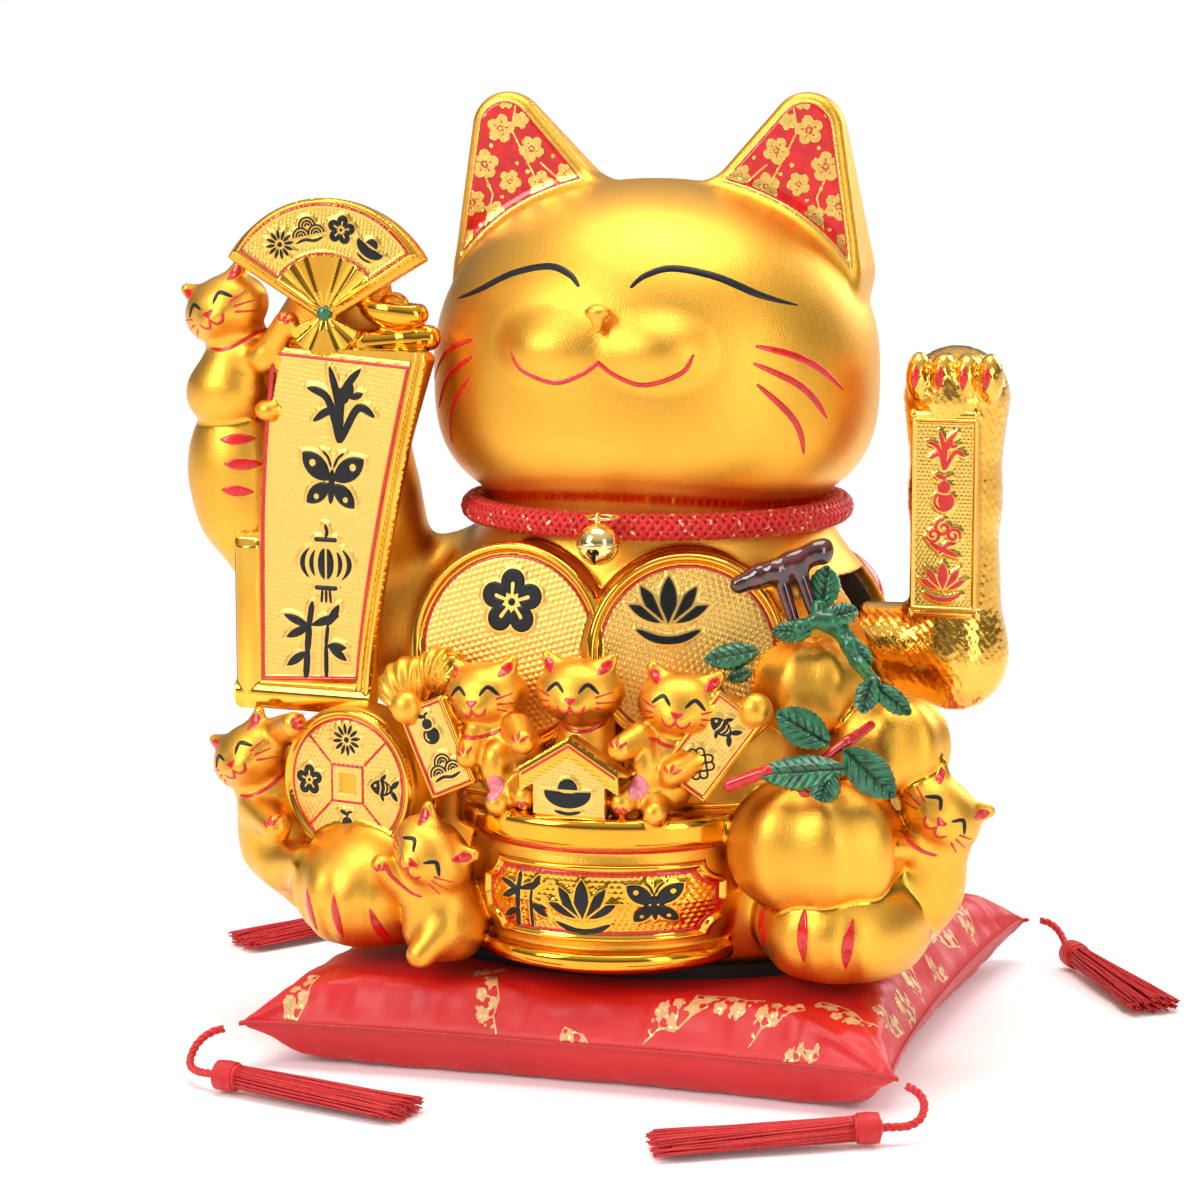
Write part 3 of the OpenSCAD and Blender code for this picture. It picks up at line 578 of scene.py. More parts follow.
def surface_net(grid):
    """Vertices (in grid steps) and quads of the zero surface of a sampled field."""
    inside = grid < 0
    corners = [(i, j, k) for i in (0, 1) for j in (0, 1) for k in (0, 1)]
    nx, ny, nz = (n - 1 for n in grid.shape)
    count = sum(inside[i:i + nx, j:j + ny, k:k + nz].astype(np.int8) for i, j, k in corners)
    cell = np.argwhere((count > 0) & (count < 8))
    index = np.full((nx, ny, nz), -1, np.int32)
    index[cell[:, 0], cell[:, 1], cell[:, 2]] = np.arange(len(cell))
    total = np.zeros((len(cell), 3))
    hits = np.zeros(len(cell))
    for a in corners:
        for axis in range(3):
            if a[axis]:
                continue
            b = list(a)
            b[axis] = 1
            fa = grid[cell[:, 0] + a[0], cell[:, 1] + a[1], cell[:, 2] + a[2]]
            fb = grid[cell[:, 0] + b[0], cell[:, 1] + b[1], cell[:, 2] + b[2]]
            cross = (fa < 0) != (fb < 0)
            t = np.where(cross, fa / np.where(cross, fa - fb, 1), 0)
            point = np.array(a, float)[None].repeat(len(cell), 0)
            point[:, axis] = t
            total += point * cross[:, None]
            hits += cross
    verts = cell + total / hits[:, None]
    quads = []
    for axis in range(3):
        ends = [slice(None)] * 3
        starts = [slice(None)] * 3
        starts[axis] = slice(0, -1)
        ends[axis] = slice(1, None)
        crossing = inside[tuple(starts)] != inside[tuple(ends)]
        at = np.argwhere(crossing)
        u, v = (axis + 1) % 3, (axis + 2) % 3
        at = at[(at[:, u] > 0) & (at[:, v] > 0) & (at[:, u] < grid.shape[u] - 1)
                & (at[:, v] < grid.shape[v] - 1)]
        around = []
        for du, dv in ((1, 1), (0, 1), (0, 0), (1, 0)):
            c = at.copy()
            c[:, u] -= du
            c[:, v] -= dv
            around.append(index[c[:, 0], c[:, 1], c[:, 2]])
        face = np.stack(around, 1)
        outward = inside[at[:, 0], at[:, 1], at[:, 2]]
        quads.append(np.where(outward[:, None], face, face[:, ::-1]))
    return verts, np.concatenate(quads)


def sculpt(field, lo, hi, step):
    """Vertices set on field's own surface, their normals, and quads."""
    lo = np.asarray(lo, float) - 2 * step
    counts = np.ceil((np.asarray(hi, float) + 2 * step - lo) / step).astype(int)
    grid = sample_blocks(field, lo, counts, step)
    verts, quads = surface_net(grid)
    verts = lo + (verts + 0.5) * step
    for _ in range(2):
        n, growth = rise(field, verts)
        away = spread_out(field, verts) / np.clip(growth, .4, 2)
        verts = verts - n * np.clip(away, -0.6 * step, 0.6 * step)[:, None]
    return verts, slope(field, verts), quads


def make_piece(name, verts, quads, normals=None, tris=None, base=True):
    """A mesh object from arrays in mm; the cat's frame is lifted onto the cushion."""
    mesh = bpy.data.meshes.new(name)
    verts = (np.asarray(verts, float) + (BASE if base else 0)) * MM
    quads = np.zeros((0, 4), int) if quads is None else np.asarray(quads, int)
    tris = np.zeros((0, 3), int) if tris is None else np.asarray(tris, int)
    mesh.vertices.add(len(verts))
    mesh.vertices.foreach_set("co", verts.astype(np.float32).ravel())
    mesh.loops.add(quads.size + tris.size)
    mesh.loops.foreach_set("vertex_index", np.concatenate([quads.ravel(), tris.ravel()]).astype(np.int32))
    starts = np.concatenate([np.arange(len(quads)) * 4, quads.size + np.arange(len(tris)) * 3])
    mesh.polygons.add(len(quads) + len(tris))
    mesh.polygons.foreach_set("loop_start", starts.astype(np.int32))
    mesh.polygons.foreach_set("use_smooth", np.ones(len(starts), bool))
    mesh.update(calc_edges=True)
    if normals is not None:
        mesh.normals_split_custom_set_from_vertices(np.asarray(normals, np.float32))
    obj = bpy.data.objects.new(name, mesh)
    bpy.context.scene.collection.objects.link(obj)
    return obj


def paint(obj, name, values):
    """A number for each vertex, which the material reads."""
    layer = obj.data.attributes.new(name, "FLOAT", "POINT")
    layer.data.foreach_set("value", np.asarray(values, np.float32))


def finish_piece(obj, material, slot, body="cat", stands_for=()):
    obj.data.materials.append(material)
    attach(obj, body)
    if stands_for:
        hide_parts(*stands_for)
    return obj


def cut_out(name, verts, normals, quads, keep, extra=None):
    """The faces named by keep, as a piece with only the vertices that it uses."""
    faces = quads[keep]
    used, faces = np.unique(faces.ravel(), return_inverse=True)
    obj = make_piece(name, verts[used], faces.reshape(-1, 4), normals[used])
    for layer, values in (extra or {}).items():
        paint(obj, layer, values[used])
    return obj


# ---------- flat drawings as distance fields over (u, v), in mm ----------

def seg2(u, v, a, b, ra, rb):
    """A tapered stroke from a to b."""
    au, av = u - a[0], v - a[1]
    bu, bv = b[0] - a[0], b[1] - a[1]
    t = np.clip((au * bu + av * bv) / (bu * bu + bv * bv + 1e-12), 0, 1)
    return np.hypot(au - bu * t, av - bv * t) - (ra + (rb - ra) * t)


def smooth_run(points, per=8):
    """A Catmull-Rom curve through given points."""
    pts = np.array([points[0]] + list(points) + [points[-1]], float)
    out = []
    for i in range(1, len(pts) - 2):
        a, b, c, d = pts[i - 1:i + 3]
        for t in np.arange(per) / per:
            out.append(.5 * (2 * b + (c - a) * t + (2 * a - 5 * b + 4 * c - d) * t * t
                             + (3 * b - a - 3 * c + d) * t ** 3))
    return np.array(out + [pts[-2]])


def brush(u, v, points, thick, per=6, tips=(0.25, 0.25)):
    """A brush stroke through points: fullest in its middle, drawn out at its ends."""
    run = smooth_run(points, per)
    t = np.linspace(0, 1, len(run))
    body = np.minimum(np.minimum(t / .3, (1 - t) / .3), 1)
    lean = np.where(t < .5, tips[0], tips[1])
    r = thick * (lean + (1 - lean) * np.sin(body * math.pi / 2))
    d = np.full(np.shape(u), 1e3)
    for i in range(len(run) - 1):
        d = np.minimum(d, seg2(u, v, run[i], run[i + 1], r[i], r[i + 1]))
    return d


def line(u, v, points, thick):
    """A stroke of one width."""
    d = np.full(np.shape(u), 1e3)
    for a, b in zip(points, points[1:]):
        d = np.minimum(d, seg2(u, v, a, b, thick, thick))
    return d


def disc2(u, v, at, r):
    return np.hypot(u - at[0], v - at[1]) - r


def leaf2(u, v, at, angle, length, width):
    """A pointed leaf that starts at at and runs along angle (degrees)."""
    c, s = math.cos(math.radians(angle)), math.sin(math.radians(angle))
    du, dv = u - at[0], v - at[1]
    along, across = du * c + dv * s - length / 2, -du * s + dv * c
    half, w = length / 2, width / 2
    big = (half * half + w * w) / (2 * w)
    return np.maximum(np.hypot(along, across + big - w), np.hypot(along, across - big + w)) - big


def outline2(points):
    """Distance to a closed outline, negative inside; the outline runs either way round."""
    pts = np.asarray(points, float)

    def field(u, v):
        d = np.full(np.shape(u), 1e9)
        sign = np.ones(np.shape(u))
        j = len(pts) - 1
        for i in range(len(pts)):
            e = pts[j] - pts[i]
            wu, wv = u - pts[i][0], v - pts[i][1]
            t = np.clip((wu * e[0] + wv * e[1]) / (e @ e), 0, 1)
            d = np.minimum(d, (wu - e[0] * t) ** 2 + (wv - e[1] * t) ** 2)
            c1, c2 = v >= pts[i][1], v < pts[j][1]
            c3 = e[0] * wv > e[1] * wu
            flip = (c1 & c2 & c3) | (~c1 & ~c2 & ~c3)
            sign = np.where(flip, -sign, sign)
            j = i
        return sign * np.sqrt(d)
    return field


def any_of(*fields):
    d = fields[0]
    for f in fields[1:]:
        d = np.minimum(d, f)
    return d


# The ornaments stand where the real figure carries writing. Each is drawn about the origin, 2 units across.

def plum(u, v):
    d = np.full(np.shape(u), 9.0)
    for k in range(5):
        a = math.radians(90 + 72 * k)
        at = (.56 * math.cos(a), .56 * math.sin(a))
        d = np.minimum(d, disc2(u, v, at, .36))
    d = np.maximum(d, .2 - np.hypot(u, v))
    for k in range(5):
        a = math.radians(90 + 72 * k)
        d = np.maximum(d, -seg2(u, v, (0, 0), (.5 * math.cos(a), .5 * math.sin(a)), .03, .05))
    return np.minimum(d, disc2(u, v, (0, 0), .11))


def bamboo(u, v):
    d = any_of(brush(u, v, [(-.25, -1), (-.2, -.38)], .1, 4, (.8, .8)),
               brush(u, v, [(-.2, -.3), (-.14, .3)], .1, 4, (.8, .8)),
               brush(u, v, [(-.14, .38), (-.04, .98)], .09, 4, (.8, .5)), brush(u, v,
                       [(.36, -.95), (.36, -.2)], .07, 4, (.8, .8)),
               brush(u, v, [(.36, -.12), (.42, .4)], .06, 4, (.8, .5)))
    for at, angle, length in (((-.12, .34), 160, .85), ((-.12, .34), 205, .8), ((-.1, .36), 20, .95),
                              ((.42, .38), 60, .7),
                              ((.4, -.12), -35, .72), ((.36, -.16), -2, .62), ((-.22, -.34), 215, .75)):
        d = np.minimum(d, leaf2(u, v, at, angle, length, .24))
    return d


def lotus(u, v):
    d = leaf2(u, v, (0, -.45), 90, 1.3, .46)
    for side in (1, -1):
        for angle, length, width in ((56, 1.2, .36), (26, 1.1, .32)):
            d = np.minimum(d, leaf2(u * side, v, (.1, -.42), angle, length, width))
    gaps = any_of(*[seg2(u * s, v, (.06, -.4), (.42, .42), .035, .03) for s in (1, -1)],
                  *[seg2(u * s, v, (.16, -.4), (.72, .06), .035, .03) for s in (1, -1)])
    d = np.maximum(d, -gaps)
    return np.minimum(d, brush(u, v, [(-.85, -.62), (-.3, -.86), (.3, -.86), (.85, -.62)], .11))


def cloud(u, v):
    d = np.full(np.shape(u), 9.0)
    for cu, cv, r, turn in ((-.48, .12, .36, 200), (.48, .12, .36, -20), (0, .46, .42, 90)):
        pts = []
        for k in range(12):
            a = math.radians(turn + k * 42)
            rr = r * (1 - k / 14)
            pts.append((cu + rr * math.cos(a), cv + rr * math.sin(a)))
        d = np.minimum(d, brush(u, v, pts, .085, 2, (.7, .4)))
    tail = brush(u, v, [(-.62, -.3), (-.2, -.5), (.1, -.62), (.75, -.92)], .13, 6, (.3, .1))
    return any_of(d, tail, brush(u, v, [(.62, -.25), (.2, -.34), (-.2, -.78)], .1))


def fish(u, v):
    d = leaf2(u, v, (-.9, .05), -4, 1.4, .84)
    d = np.minimum(d, any_of(leaf2(u, v, (.34, -.02), 42, .72, .3), leaf2(u, v, (.34, -.06), -52, .72, .3)))
    d = np.minimum(d, any_of(leaf2(u, v, (-.3, .3), 48, .6, .24), leaf2(u, v, (-.25, -.32), -62, .42, .2)))
    cuts = any_of(disc2(u, v, (-.58, .1), .075), brush(u, v, [(-.32, .38), (-.25, .02), (-.34, -.36)], .04),
                  brush(u, v, [(-.02, .3), (.06, .02), (-.04, -.3)], .035), brush(u, v,
                          [(.2, .2), (.26, .0), (.18, -.2)], .03))
    return np.maximum(d, -cuts)


def gourd(u, v):
    d = any_of(disc2(u, v, (0, .28), .33), disc2(u, v, (0, -.42), .54))
    d = np.maximum(d, -any_of(brush(u, v, [(-.36, .02), (0, -.06), (.36, .02)], .045),
                              brush(u, v, [(-.28, -.2), (-.36, -.45), (-.24, -.7)], .05)))
    stem = brush(u, v, [(0, .55), (.03, .75), (.16, .88), (.34, .86)], .075)
    return any_of(d, stem, leaf2(u, v, (.08, .72), 160, .6, .26))


def knot(u, v):
    s = (u + v) / math.sqrt(2)
    t = (u - v) / math.sqrt(2)
    d = np.full(np.shape(u), 9.0)
    for k in (-.42, 0, .42):
        d = any_of(d, seg2(s, t, (k, -.62), (k, .62), .062, .062),
                   seg2(s, t, (-.62, k), (.62, k), .062, .062))
    for k in (-.21, .21):
        for end in (-.62, .62):
            d = any_of(d, np.abs(disc2(s, t, (k, end), .21)) - .062
                       + 9 * ((np.abs(t) < .6) | (np.sign(t) != np.sign(end))),
                       np.abs(disc2(s, t, (end, k), .21)) - .062 + 9 * ((np.abs(s) < .6)
                               | (np.sign(s) != np.sign(end))))
    return d


def wave(u, v):
    d = np.full(np.shape(u), 9.0)
    for cu, cv in ((-.5, -.35), (.5, -.35), (0, .2)):
        for r in (.5, .3, .12):
            ring = np.abs(np.hypot(u - cu, v - cv) - r) - .065
            d = np.minimum(d, np.maximum(ring, cv - .02 - v))
    return np.minimum(d, brush(u, v, [(-.9, -.7), (-.3, -.58), (.3, -.74), (.9, -.62)], .1))


def sycee(u, v):
    hull = np.maximum(np.hypot(u / .95, (v + .05) / .62) * .6 - .6, v + .02 * np.cos(u * 3))
    hull = np.maximum(hull, .5 - np.hypot(u / 1.25, (v - .42)))
    d = any_of(hull, np.maximum(disc2(u, v, (0, .1), .4), .06 - np.abs(v)))
    d = np.minimum(d, brush(u, v, [(-.55, -.78), (0, -.88), (.55, -.78)], .075))
    return d


def lantern(u, v):
    shell = np.hypot(u / .72, v / .5) * .5 - .5
    ribs = any_of(*[np.abs(np.hypot(u / max(w, .02), v / .5) - 1) * w * .5 - .028 for w in (.28, .52)],
                  np.abs(u) - .025)
    d = np.maximum(shell, -ribs)
    d = any_of(d, seg2(u, v, (-.26, .6), (.26, .6), .06, .06), seg2(u, v, (-.26, -.6), (.26, -.6), .06, .06),
               brush(u, v, [(0, .66), (.04, .8), (-.02, .98)], .05))
    return any_of(d, *[brush(u, v, [(k * .1, -.64), (k * .13, -.98)], .04) for k in (-1, 0, 1)])


def aster(u, v):
    d = disc2(u, v, (0, 0), .17)
    for k in range(12):
        a = 30 * k + 8
        c, s = math.cos(math.radians(a)), math.sin(math.radians(a))
        d = np.minimum(d, leaf2(u, v, (.25 * c, .25 * s), a, .72, .23))
    return d


def butterfly(u, v):
    d = brush(u, v, [(0, .38), (0, -.05), (0, -.5)], .09)
    m = np.abs(u)
    d = any_of(d, leaf2(m, v, (.06, .1), 38, 1.05, .58), leaf2(m, v, (.06, .02), -42, .85, .46),
               brush(m, v, [(.03, .42), (.14, .68), (.32, .84)], .04))
    return np.maximum(d, -any_of(disc2(m, v, (.58, .5), .09), disc2(m, v, (.42, -.36), .07)))


def orchid(u, v):
    d = np.full(np.shape(u), 9.0)
    for a, b, c in (((0, -.9), (-.3, .1), (-.85, .35)), ((.02, -.9), (.1, .2), (.6, .85)),
                    ((.05, -.9), (.5, -.1), (.95, -.3)),
                    ((-.03, -.9), (-.2, -.2), (-.7, -.45)), ((0, -.9), (-.02, .0), (-.25, .9))):
        d = np.minimum(d, brush(u, v, [a, b, c], .1, 6, (.5, .1)))
    return any_of(d, *[leaf2(u, v, (.28, .12), k, .4, .18) for k in (20, 80, 140, 200)])


# ---------- materials ----------

def material(name):
    mat = bpy.data.materials.new(name)
    mat.use_nodes = True
    tree = mat.node_tree
    return mat, tree, tree.nodes["Principled BSDF"]


def node(tree, kind, inputs=None, **settings):
    n = tree.nodes.new(kind)
    for key, value in settings.items():
        setattr(n, key, value)
    for key, value in (inputs or {}).items():
        socket = n.inputs[key]
        if isinstance(value, bpy.types.NodeSocket):
            tree.links.new(value, socket)
        else:
            socket.default_value = value
    return n


def place_of(tree, scale=1.0):
    """Points of the rest shape, so the grain doesn't swim when a piece moves."""
    coords = node(tree, "ShaderNodeTexCoord")
    return node(tree, "ShaderNodeVectorMath", {0: coords.outputs["Object"], 3: scale},
                operation="SCALE").outputs[0]


def noise(tree, where, scale, detail=2.0, rough=0.5):
    return node(tree, "ShaderNodeTexNoise", {"Vector": where, "Scale": scale, "Detail": detail,
                                             "Roughness": rough}).outputs[0]


def ramp(tree, value, stops):
    """stops: (position, number or colour)."""
    n = node(tree, "ShaderNodeValToRGB", {"Fac": value})
    elements = n.color_ramp.elements
    while len(elements) < len(stops):
        elements.new(0.5)
    for element, (at, colour) in zip(elements, stops):
        element.position = at
        element.color = (*colour, 1) if hasattr(colour, "__len__") else (colour, colour, colour, 1)
    return n.outputs[0]


def math_node(tree, operation, a, b=0.0, clamp=False):
    return node(tree, "ShaderNodeMath", {0: a, 1: b}, operation=operation, use_clamp=clamp).outputs[0]


def mix_colour(tree, factor, a, b, blend="MIX"):
    n = node(tree, "ShaderNodeMix", data_type="RGBA", blend_type=blend)
    for socket, value in ((n.inputs[0], factor), (n.inputs[6], a), (n.inputs[7], b)):
        if isinstance(value, bpy.types.NodeSocket):
            tree.links.new(value, socket)
        else:
            socket.default_value = (*value, 1) if hasattr(value, "__len__") else value
    return n.outputs[2]


def bump(tree, bsdf, height, depth, strength=1.0):
    n = node(tree, "ShaderNodeBump", {"Height": height, "Distance": depth, "Strength": strength})
    tree.links.new(n.outputs[0], bsdf.inputs["Normal"])


def link(tree, source, bsdf, socket):
    tree.links.new(source, bsdf.inputs[socket])


GOLD_LIGHT, GOLD_MID = (.96, .53, .10), (.80, .375, .034)


def gold_casting():
    """Plated glaze: sand-grained satin on the forms, glossy in the creases and along the edges; there its
    colour is also darkened to GOLD_MID, painted shade in the creases between the parts and a deeper tone on
    the trims.
    """
    mat, tree, bsdf = material("gold_casting")
    where = place_of(tree)
    polish_and_crease_shade = node(tree, "ShaderNodeAttribute", attribute_name="polish_and_crease_shade").outputs["Fac"]
    cloudy = noise(tree, where, 18, 3)
    grain = noise(tree, where, 2600, 1.5, .6)
    speck = node(tree, "ShaderNodeTexVoronoi", {"Vector": where, "Scale": 1900},
                 feature="F1").outputs["Distance"]
    tone = ramp(tree, cloudy, [(.3, GOLD_MID), (.7, (.86, .43, .048))])
    tone = mix_colour(tree, math_node(tree, "MULTIPLY", grain, .35), tone, GOLD_LIGHT)
    # Where the crease mask is set the base colour goes to the darker GOLD_MID: painted shade in the creases;
    # the same mask makes them glossy and smooth.
    link(tree, mix_colour(tree, polish_and_crease_shade, tone, GOLD_MID), bsdf, "Base Color")
    bsdf.inputs["Metallic"].default_value = 1
    satin = node(tree, "ShaderNodeMapRange", {"Value": grain, "From Min": .3, "From Max": .7, "To Min": .30,
                                              "To Max": .46})
    shiny = node(tree, "ShaderNodeMapRange", {"Value": cloudy, "To Min": .09, "To Max": .15})
    rough = node(tree, "ShaderNodeMix", {0: polish_and_crease_shade, 2: satin.outputs[0], 3: shiny.outputs[0]},
                 data_type="FLOAT")
    link(tree, rough.outputs[0], bsdf, "Roughness")
    relief = math_node(tree, "MULTIPLY", math_node(tree, "ADD", grain, speck),
                       math_node(tree, "SUBTRACT", 1.0, polish_and_crease_shade))
    bump(tree, bsdf, relief, .00012, .55)
    return mat


def bare_ceramic():
    mat, tree, bsdf = material("bare_ceramic")
    where = place_of(tree)
    link(tree, ramp(tree, noise(tree, where, 300, 3), [(.3, (.52, .47, .40)), (.7, (.66, .61, .53))]), bsdf,
         "Base Color")
    bsdf.inputs["Roughness"].default_value = .85
    bump(tree, bsdf, noise(tree, where, 1500, 2), .0001, .4)
    return mat


def simple_stage():
    """A round pale floor under a sky that is as bright as the floor is lit, so its rim doesn't show."""
    floor = bpy.data.meshes.new("floor")
    turns = [2 * math.pi * k / 96 for k in range(96)]
    rim = [(1.05 * math.cos(t), 1.05 * math.sin(t), 0) for t in turns]
    floor.from_pydata(rim, [], [tuple(range(96))])
    obj = bpy.data.objects.new("floor", floor)
    bpy.context.scene.collection.objects.link(obj)
    mat, tree, bsdf = material("pale_floor")
    where = place_of(tree)
    link(tree, ramp(tree, noise(tree, where, 3, 2), [(.3, .93), (.7, .95)]), bsdf, "Base Color")
    bsdf.inputs["Roughness"].default_value = .55
    bsdf.inputs["Emission Color"].default_value = (1, 1, 1, 1)
    bsdf.inputs["Emission Strength"].default_value = .07
    obj.data.materials.append(mat)


def area_light(name, at, look, size, power, colour=(1, 1, 1)):
    data = bpy.data.lights.new(name, "AREA")
    data.shape = "RECTANGLE"
    data.size, data.size_y = size
    data.energy = power
    data.color = colour
    lamp = bpy.data.objects.new(name, data)
    bpy.context.scene.collection.objects.link(lamp)
    lamp.location = at
    lamp.rotation_euler = (Vector(look) - Vector(at)).to_track_quat("-Z", "Y").to_euler()


def studio():
    world = bpy.data.worlds.new("studio")
    bpy.context.scene.world = world
    world.use_nodes = True
    tree = world.node_tree
    coords = node(tree, "ShaderNodeTexCoord")
    up = node(tree, "ShaderNodeSeparateXYZ", {0: coords.outputs["Generated"]}).outputs[2]
    up = node(tree, "ShaderNodeMapRange", {"Value": up, "From Min": -1.0, "From Max": 1.0}).outputs[0]
    sky = ramp(tree, up, [(0.0, 1.0), (.515, 1.0), (.54, .10), (.66, .24), (.85, .7), (1.0, .85)])
    back = tree.nodes["Background"]
    tree.links.new(sky, back.inputs["Color"])
    back.inputs["Strength"].default_value = 1.0
    middle = (0, 0, .18)
    area_light("key", (-.85, -1.15, .95), middle, (.55, .9), 13)
    area_light("fill", (1.2, -.9, .55), middle, (.35, 1.0), 5)
    area_light("top", (0, -.1, 1.5), middle, (1.1, .7), 13)
    area_light("rim", (.7, 1.1, .8), middle, (.6, .8), 8)
    bpy.context.scene.view_settings.view_transform = "Standard"


# ---------- the casting, cut into its named sprigs ----------

CAST_STEP = 1.0
PARTS = ["torso", "head"] + list(SPRIGS)


def cast_cat():
    lo = np.min([b[0] for b in REACHES.values()], 0)
    hi = np.max([b[1] for b in REACHES.values()], 0)
    verts, normals, quads = sculpt(casting, (lo[0], lo[1], 4), (hi[0], 88, 302), CAST_STEP)
    rows = np.stack(shares(verts))
    order = np.sort(rows, 0)
    # Mask of the creases where sprigs meet, the bowl's brim edges and the ingots: the gold is glossier there
    # and its colour darker, which is painted shade in the creases.
    crease_gloss_and_shade = np.clip(1 - (order[1] - order[0]) / 2.6, 0, 1) * (verts[:, 2] < 262)
    brim = rows[PARTS.index("treasure_bowl")]
    crease_gloss_and_shade = np.maximum(crease_gloss_and_shade, (np.abs(brim) < .4) * np.clip((verts[:, 2] - 50.5) / 1.5, 0, 1))
    crease_gloss_and_shade = np.maximum(crease_gloss_and_shade, (np.abs(brim) < .4) * np.clip((15.5 - verts[:, 2]) / 1.5, 0, 1))
    crease_gloss_and_shade = np.maximum(crease_gloss_and_shade, (np.abs(rows[PARTS.index("ingots")]) < .4) * (verts[:, 2] > 150))
    owner = np.argmin(rows, 0)
    face_owner = owner[quads[:, 0]]
    middle = verts[quads].mean(1)
    hidden = rows[0][quads[:, 0]] < -.8 * WALL
    gold = gold_casting()
    bare = bare_ceramic()
    for name, half in (("cast_inside_front", middle[:, 1] < 0), ("cast_inside_back", middle[:, 1] >= 0)):
        finish_piece(cut_out(name, verts, normals, quads, hidden & half), bare, "satin_gold")
    for index, name in enumerate(PARTS):
        mine = (face_owner == index) & ~hidden
        if name == "torso":
            cuts = {"body_front": mine & (middle[:, 1] < 0), "body_back": mine & (middle[:, 1] >= 0)}
        elif name == "head":
            cuts = {"head_front": mine & (middle[:, 1] < 0), "head_back": mine & (middle[:, 1] >= 0)}
        else:
            cuts = {name: mine}
        for piece, keep in cuts.items():
            if keep.sum() < 20:
                continue
            obj = cut_out("cast_" + piece, verts, normals, quads, keep, {"polish_and_crease_shade": crease_gloss_and_shade})
            stands = [name] if name in SPRIGS else (["body_shell"] if piece == "body_front" else [])
            if name == "back_pouch":
                finish_piece(obj, RED, "red_enamel", "cat", stands)
            else:
                finish_piece(obj, gold, "satin_gold", "cat", stands)



# ---------- thin sheets: reliefs on the panels and enamel on the glaze ----------

def sheet_grid(inside, box, step):
    """A grid clipped to where inside(u, v) <= 0, its edge on the outline: u, v, quads, tris."""
    u0, u1, v0, v1 = box
    nu, nv = int((u1 - u0) / step) + 2, int((v1 - v0) / step) + 2
    u, v = np.meshgrid(u0 + np.arange(nu) * step, v0 + np.arange(nv) * step, indexing="ij")
    s = inside(u, v)
    for _ in range(2):
        e = step * .2
        gu = (inside(u + e, v) - inside(u - e, v)) / (2 * e)
        gv = (inside(u, v + e) - inside(u, v - e)) / (2 * e)
        size = gu * gu + gv * gv + 1e-6
        near = np.abs(s) < step * .62
        u = np.where(near, u - np.clip(s * gu / size, -.62 * step, .62 * step), u)
        v = np.where(near, v - np.clip(s * gv / size, -.62 * step, .62 * step), v)
        s = np.where(near, 0, inside(u, v))
    keep = s <= 1e-6
    ids = np.arange(nu * nv).reshape(nu, nv)
    c = [ids[:-1, :-1], ids[1:, :-1], ids[1:, 1:], ids[:-1, 1:]]
    k = [keep[:-1, :-1], keep[1:, :-1], keep[1:, 1:], keep[:-1, 1:]]
    total = sum(x.astype(int) for x in k)
    quads = np.stack([x[total == 4] for x in c], 1)
    tris = [np.stack([c[(m + 1) % 4][w], c[(m + 2) % 4][w], c[(m + 3) % 4][w]], 1)
            for m in range(4) for w in [(total == 3) & ~k[m]]]
    tris = np.concatenate(tris)
    used = np.unique(np.concatenate([quads.ravel(), tris.ravel()]))
    new = np.full(nu * nv, -1)
    new[used] = np.arange(len(used))
    return u.ravel()[used], v.ravel()[used], new[quads], new[tris]


def rim_edges(quads, tris):
    """Directed edges that belong to one face only."""
    edges = np.concatenate([np.stack([f[:, i], f[:, (i + 1) % f.shape[1]]], 1)
                            for f in (quads, tris) if len(f) for i in range(f.shape[1])])
    key = np.sort(edges, 1)
    _, where, count = np.unique(key, axis=0, return_index=True, return_counts=True)
    return edges[where[count == 1]]


def sheet_piece(name, points, out, quads, tris, skirt):
    """points with faces, and a skirt that closes their rim downward, so a sheet never shows its edge."""
    used, flat = np.unique(np.concatenate([quads.ravel(), tris.ravel()]), return_inverse=True)
    points, out = points[used], out[used]
    quads, tris = flat[:quads.size].reshape(-1, 4), flat[quads.size:].reshape(-1, 3)
    rim = rim_edges(quads, tris)
    top, slot_of = np.unique(rim.ravel(), return_inverse=True)
    slot_of = slot_of.reshape(-1, 2)
    count = len(points)
    walls_top, walls_low = points[top], points[top] - out[top] * skirt
    verts = np.concatenate([points, walls_top, walls_low])
    a, b = count + slot_of[:, 0], count + slot_of[:, 1]
    walls = np.stack([b, a, a + len(top), b + len(top)], 1)
    return make_piece(name, verts, np.concatenate([quads, walls]), None, tris)


def bead(depth, height, width):
    """Height of wet enamel: it rises from its edge within width and is nearly level inside."""
    t = np.clip(depth / width, 0, 1)
    return height * np.sqrt(1 - (1 - t) ** 2)


def relief(name, place, outline, box, height, step=0.42, skirt=2.0, layers=None):
    """A pressed panel face: height(u, v) above its frame, clipped to outline."""
    u, v, quads, tris = sheet_grid(outline, box, step)
    points = place.world(u, v, height(u, v))
    obj = sheet_piece(name, points, np.broadcast_to(place.out, points.shape), quads, tris, skirt)
    count = len(obj.data.vertices)
    for layer, field in (layers or {}).items():
        values = field(u, v)
        paint(obj, layer, np.concatenate([values, np.full(count - len(u), float(np.mean(values)))]))
    return obj


def enamel_on_panel(name, place, drawing, box, ground, step=0.3, height=0.35, width=0.7):
    """Raised enamel that follows a panel's own relief."""
    u, v, quads, tris = sheet_grid(drawing, box, step)
    if not len(quads):
        return None
    points = place.world(u, v, ground(u, v) + bead(-drawing(u, v), height, width) - .03)
    return sheet_piece(name, points, np.broadcast_to(place.out, points.shape), quads, tris, .5)


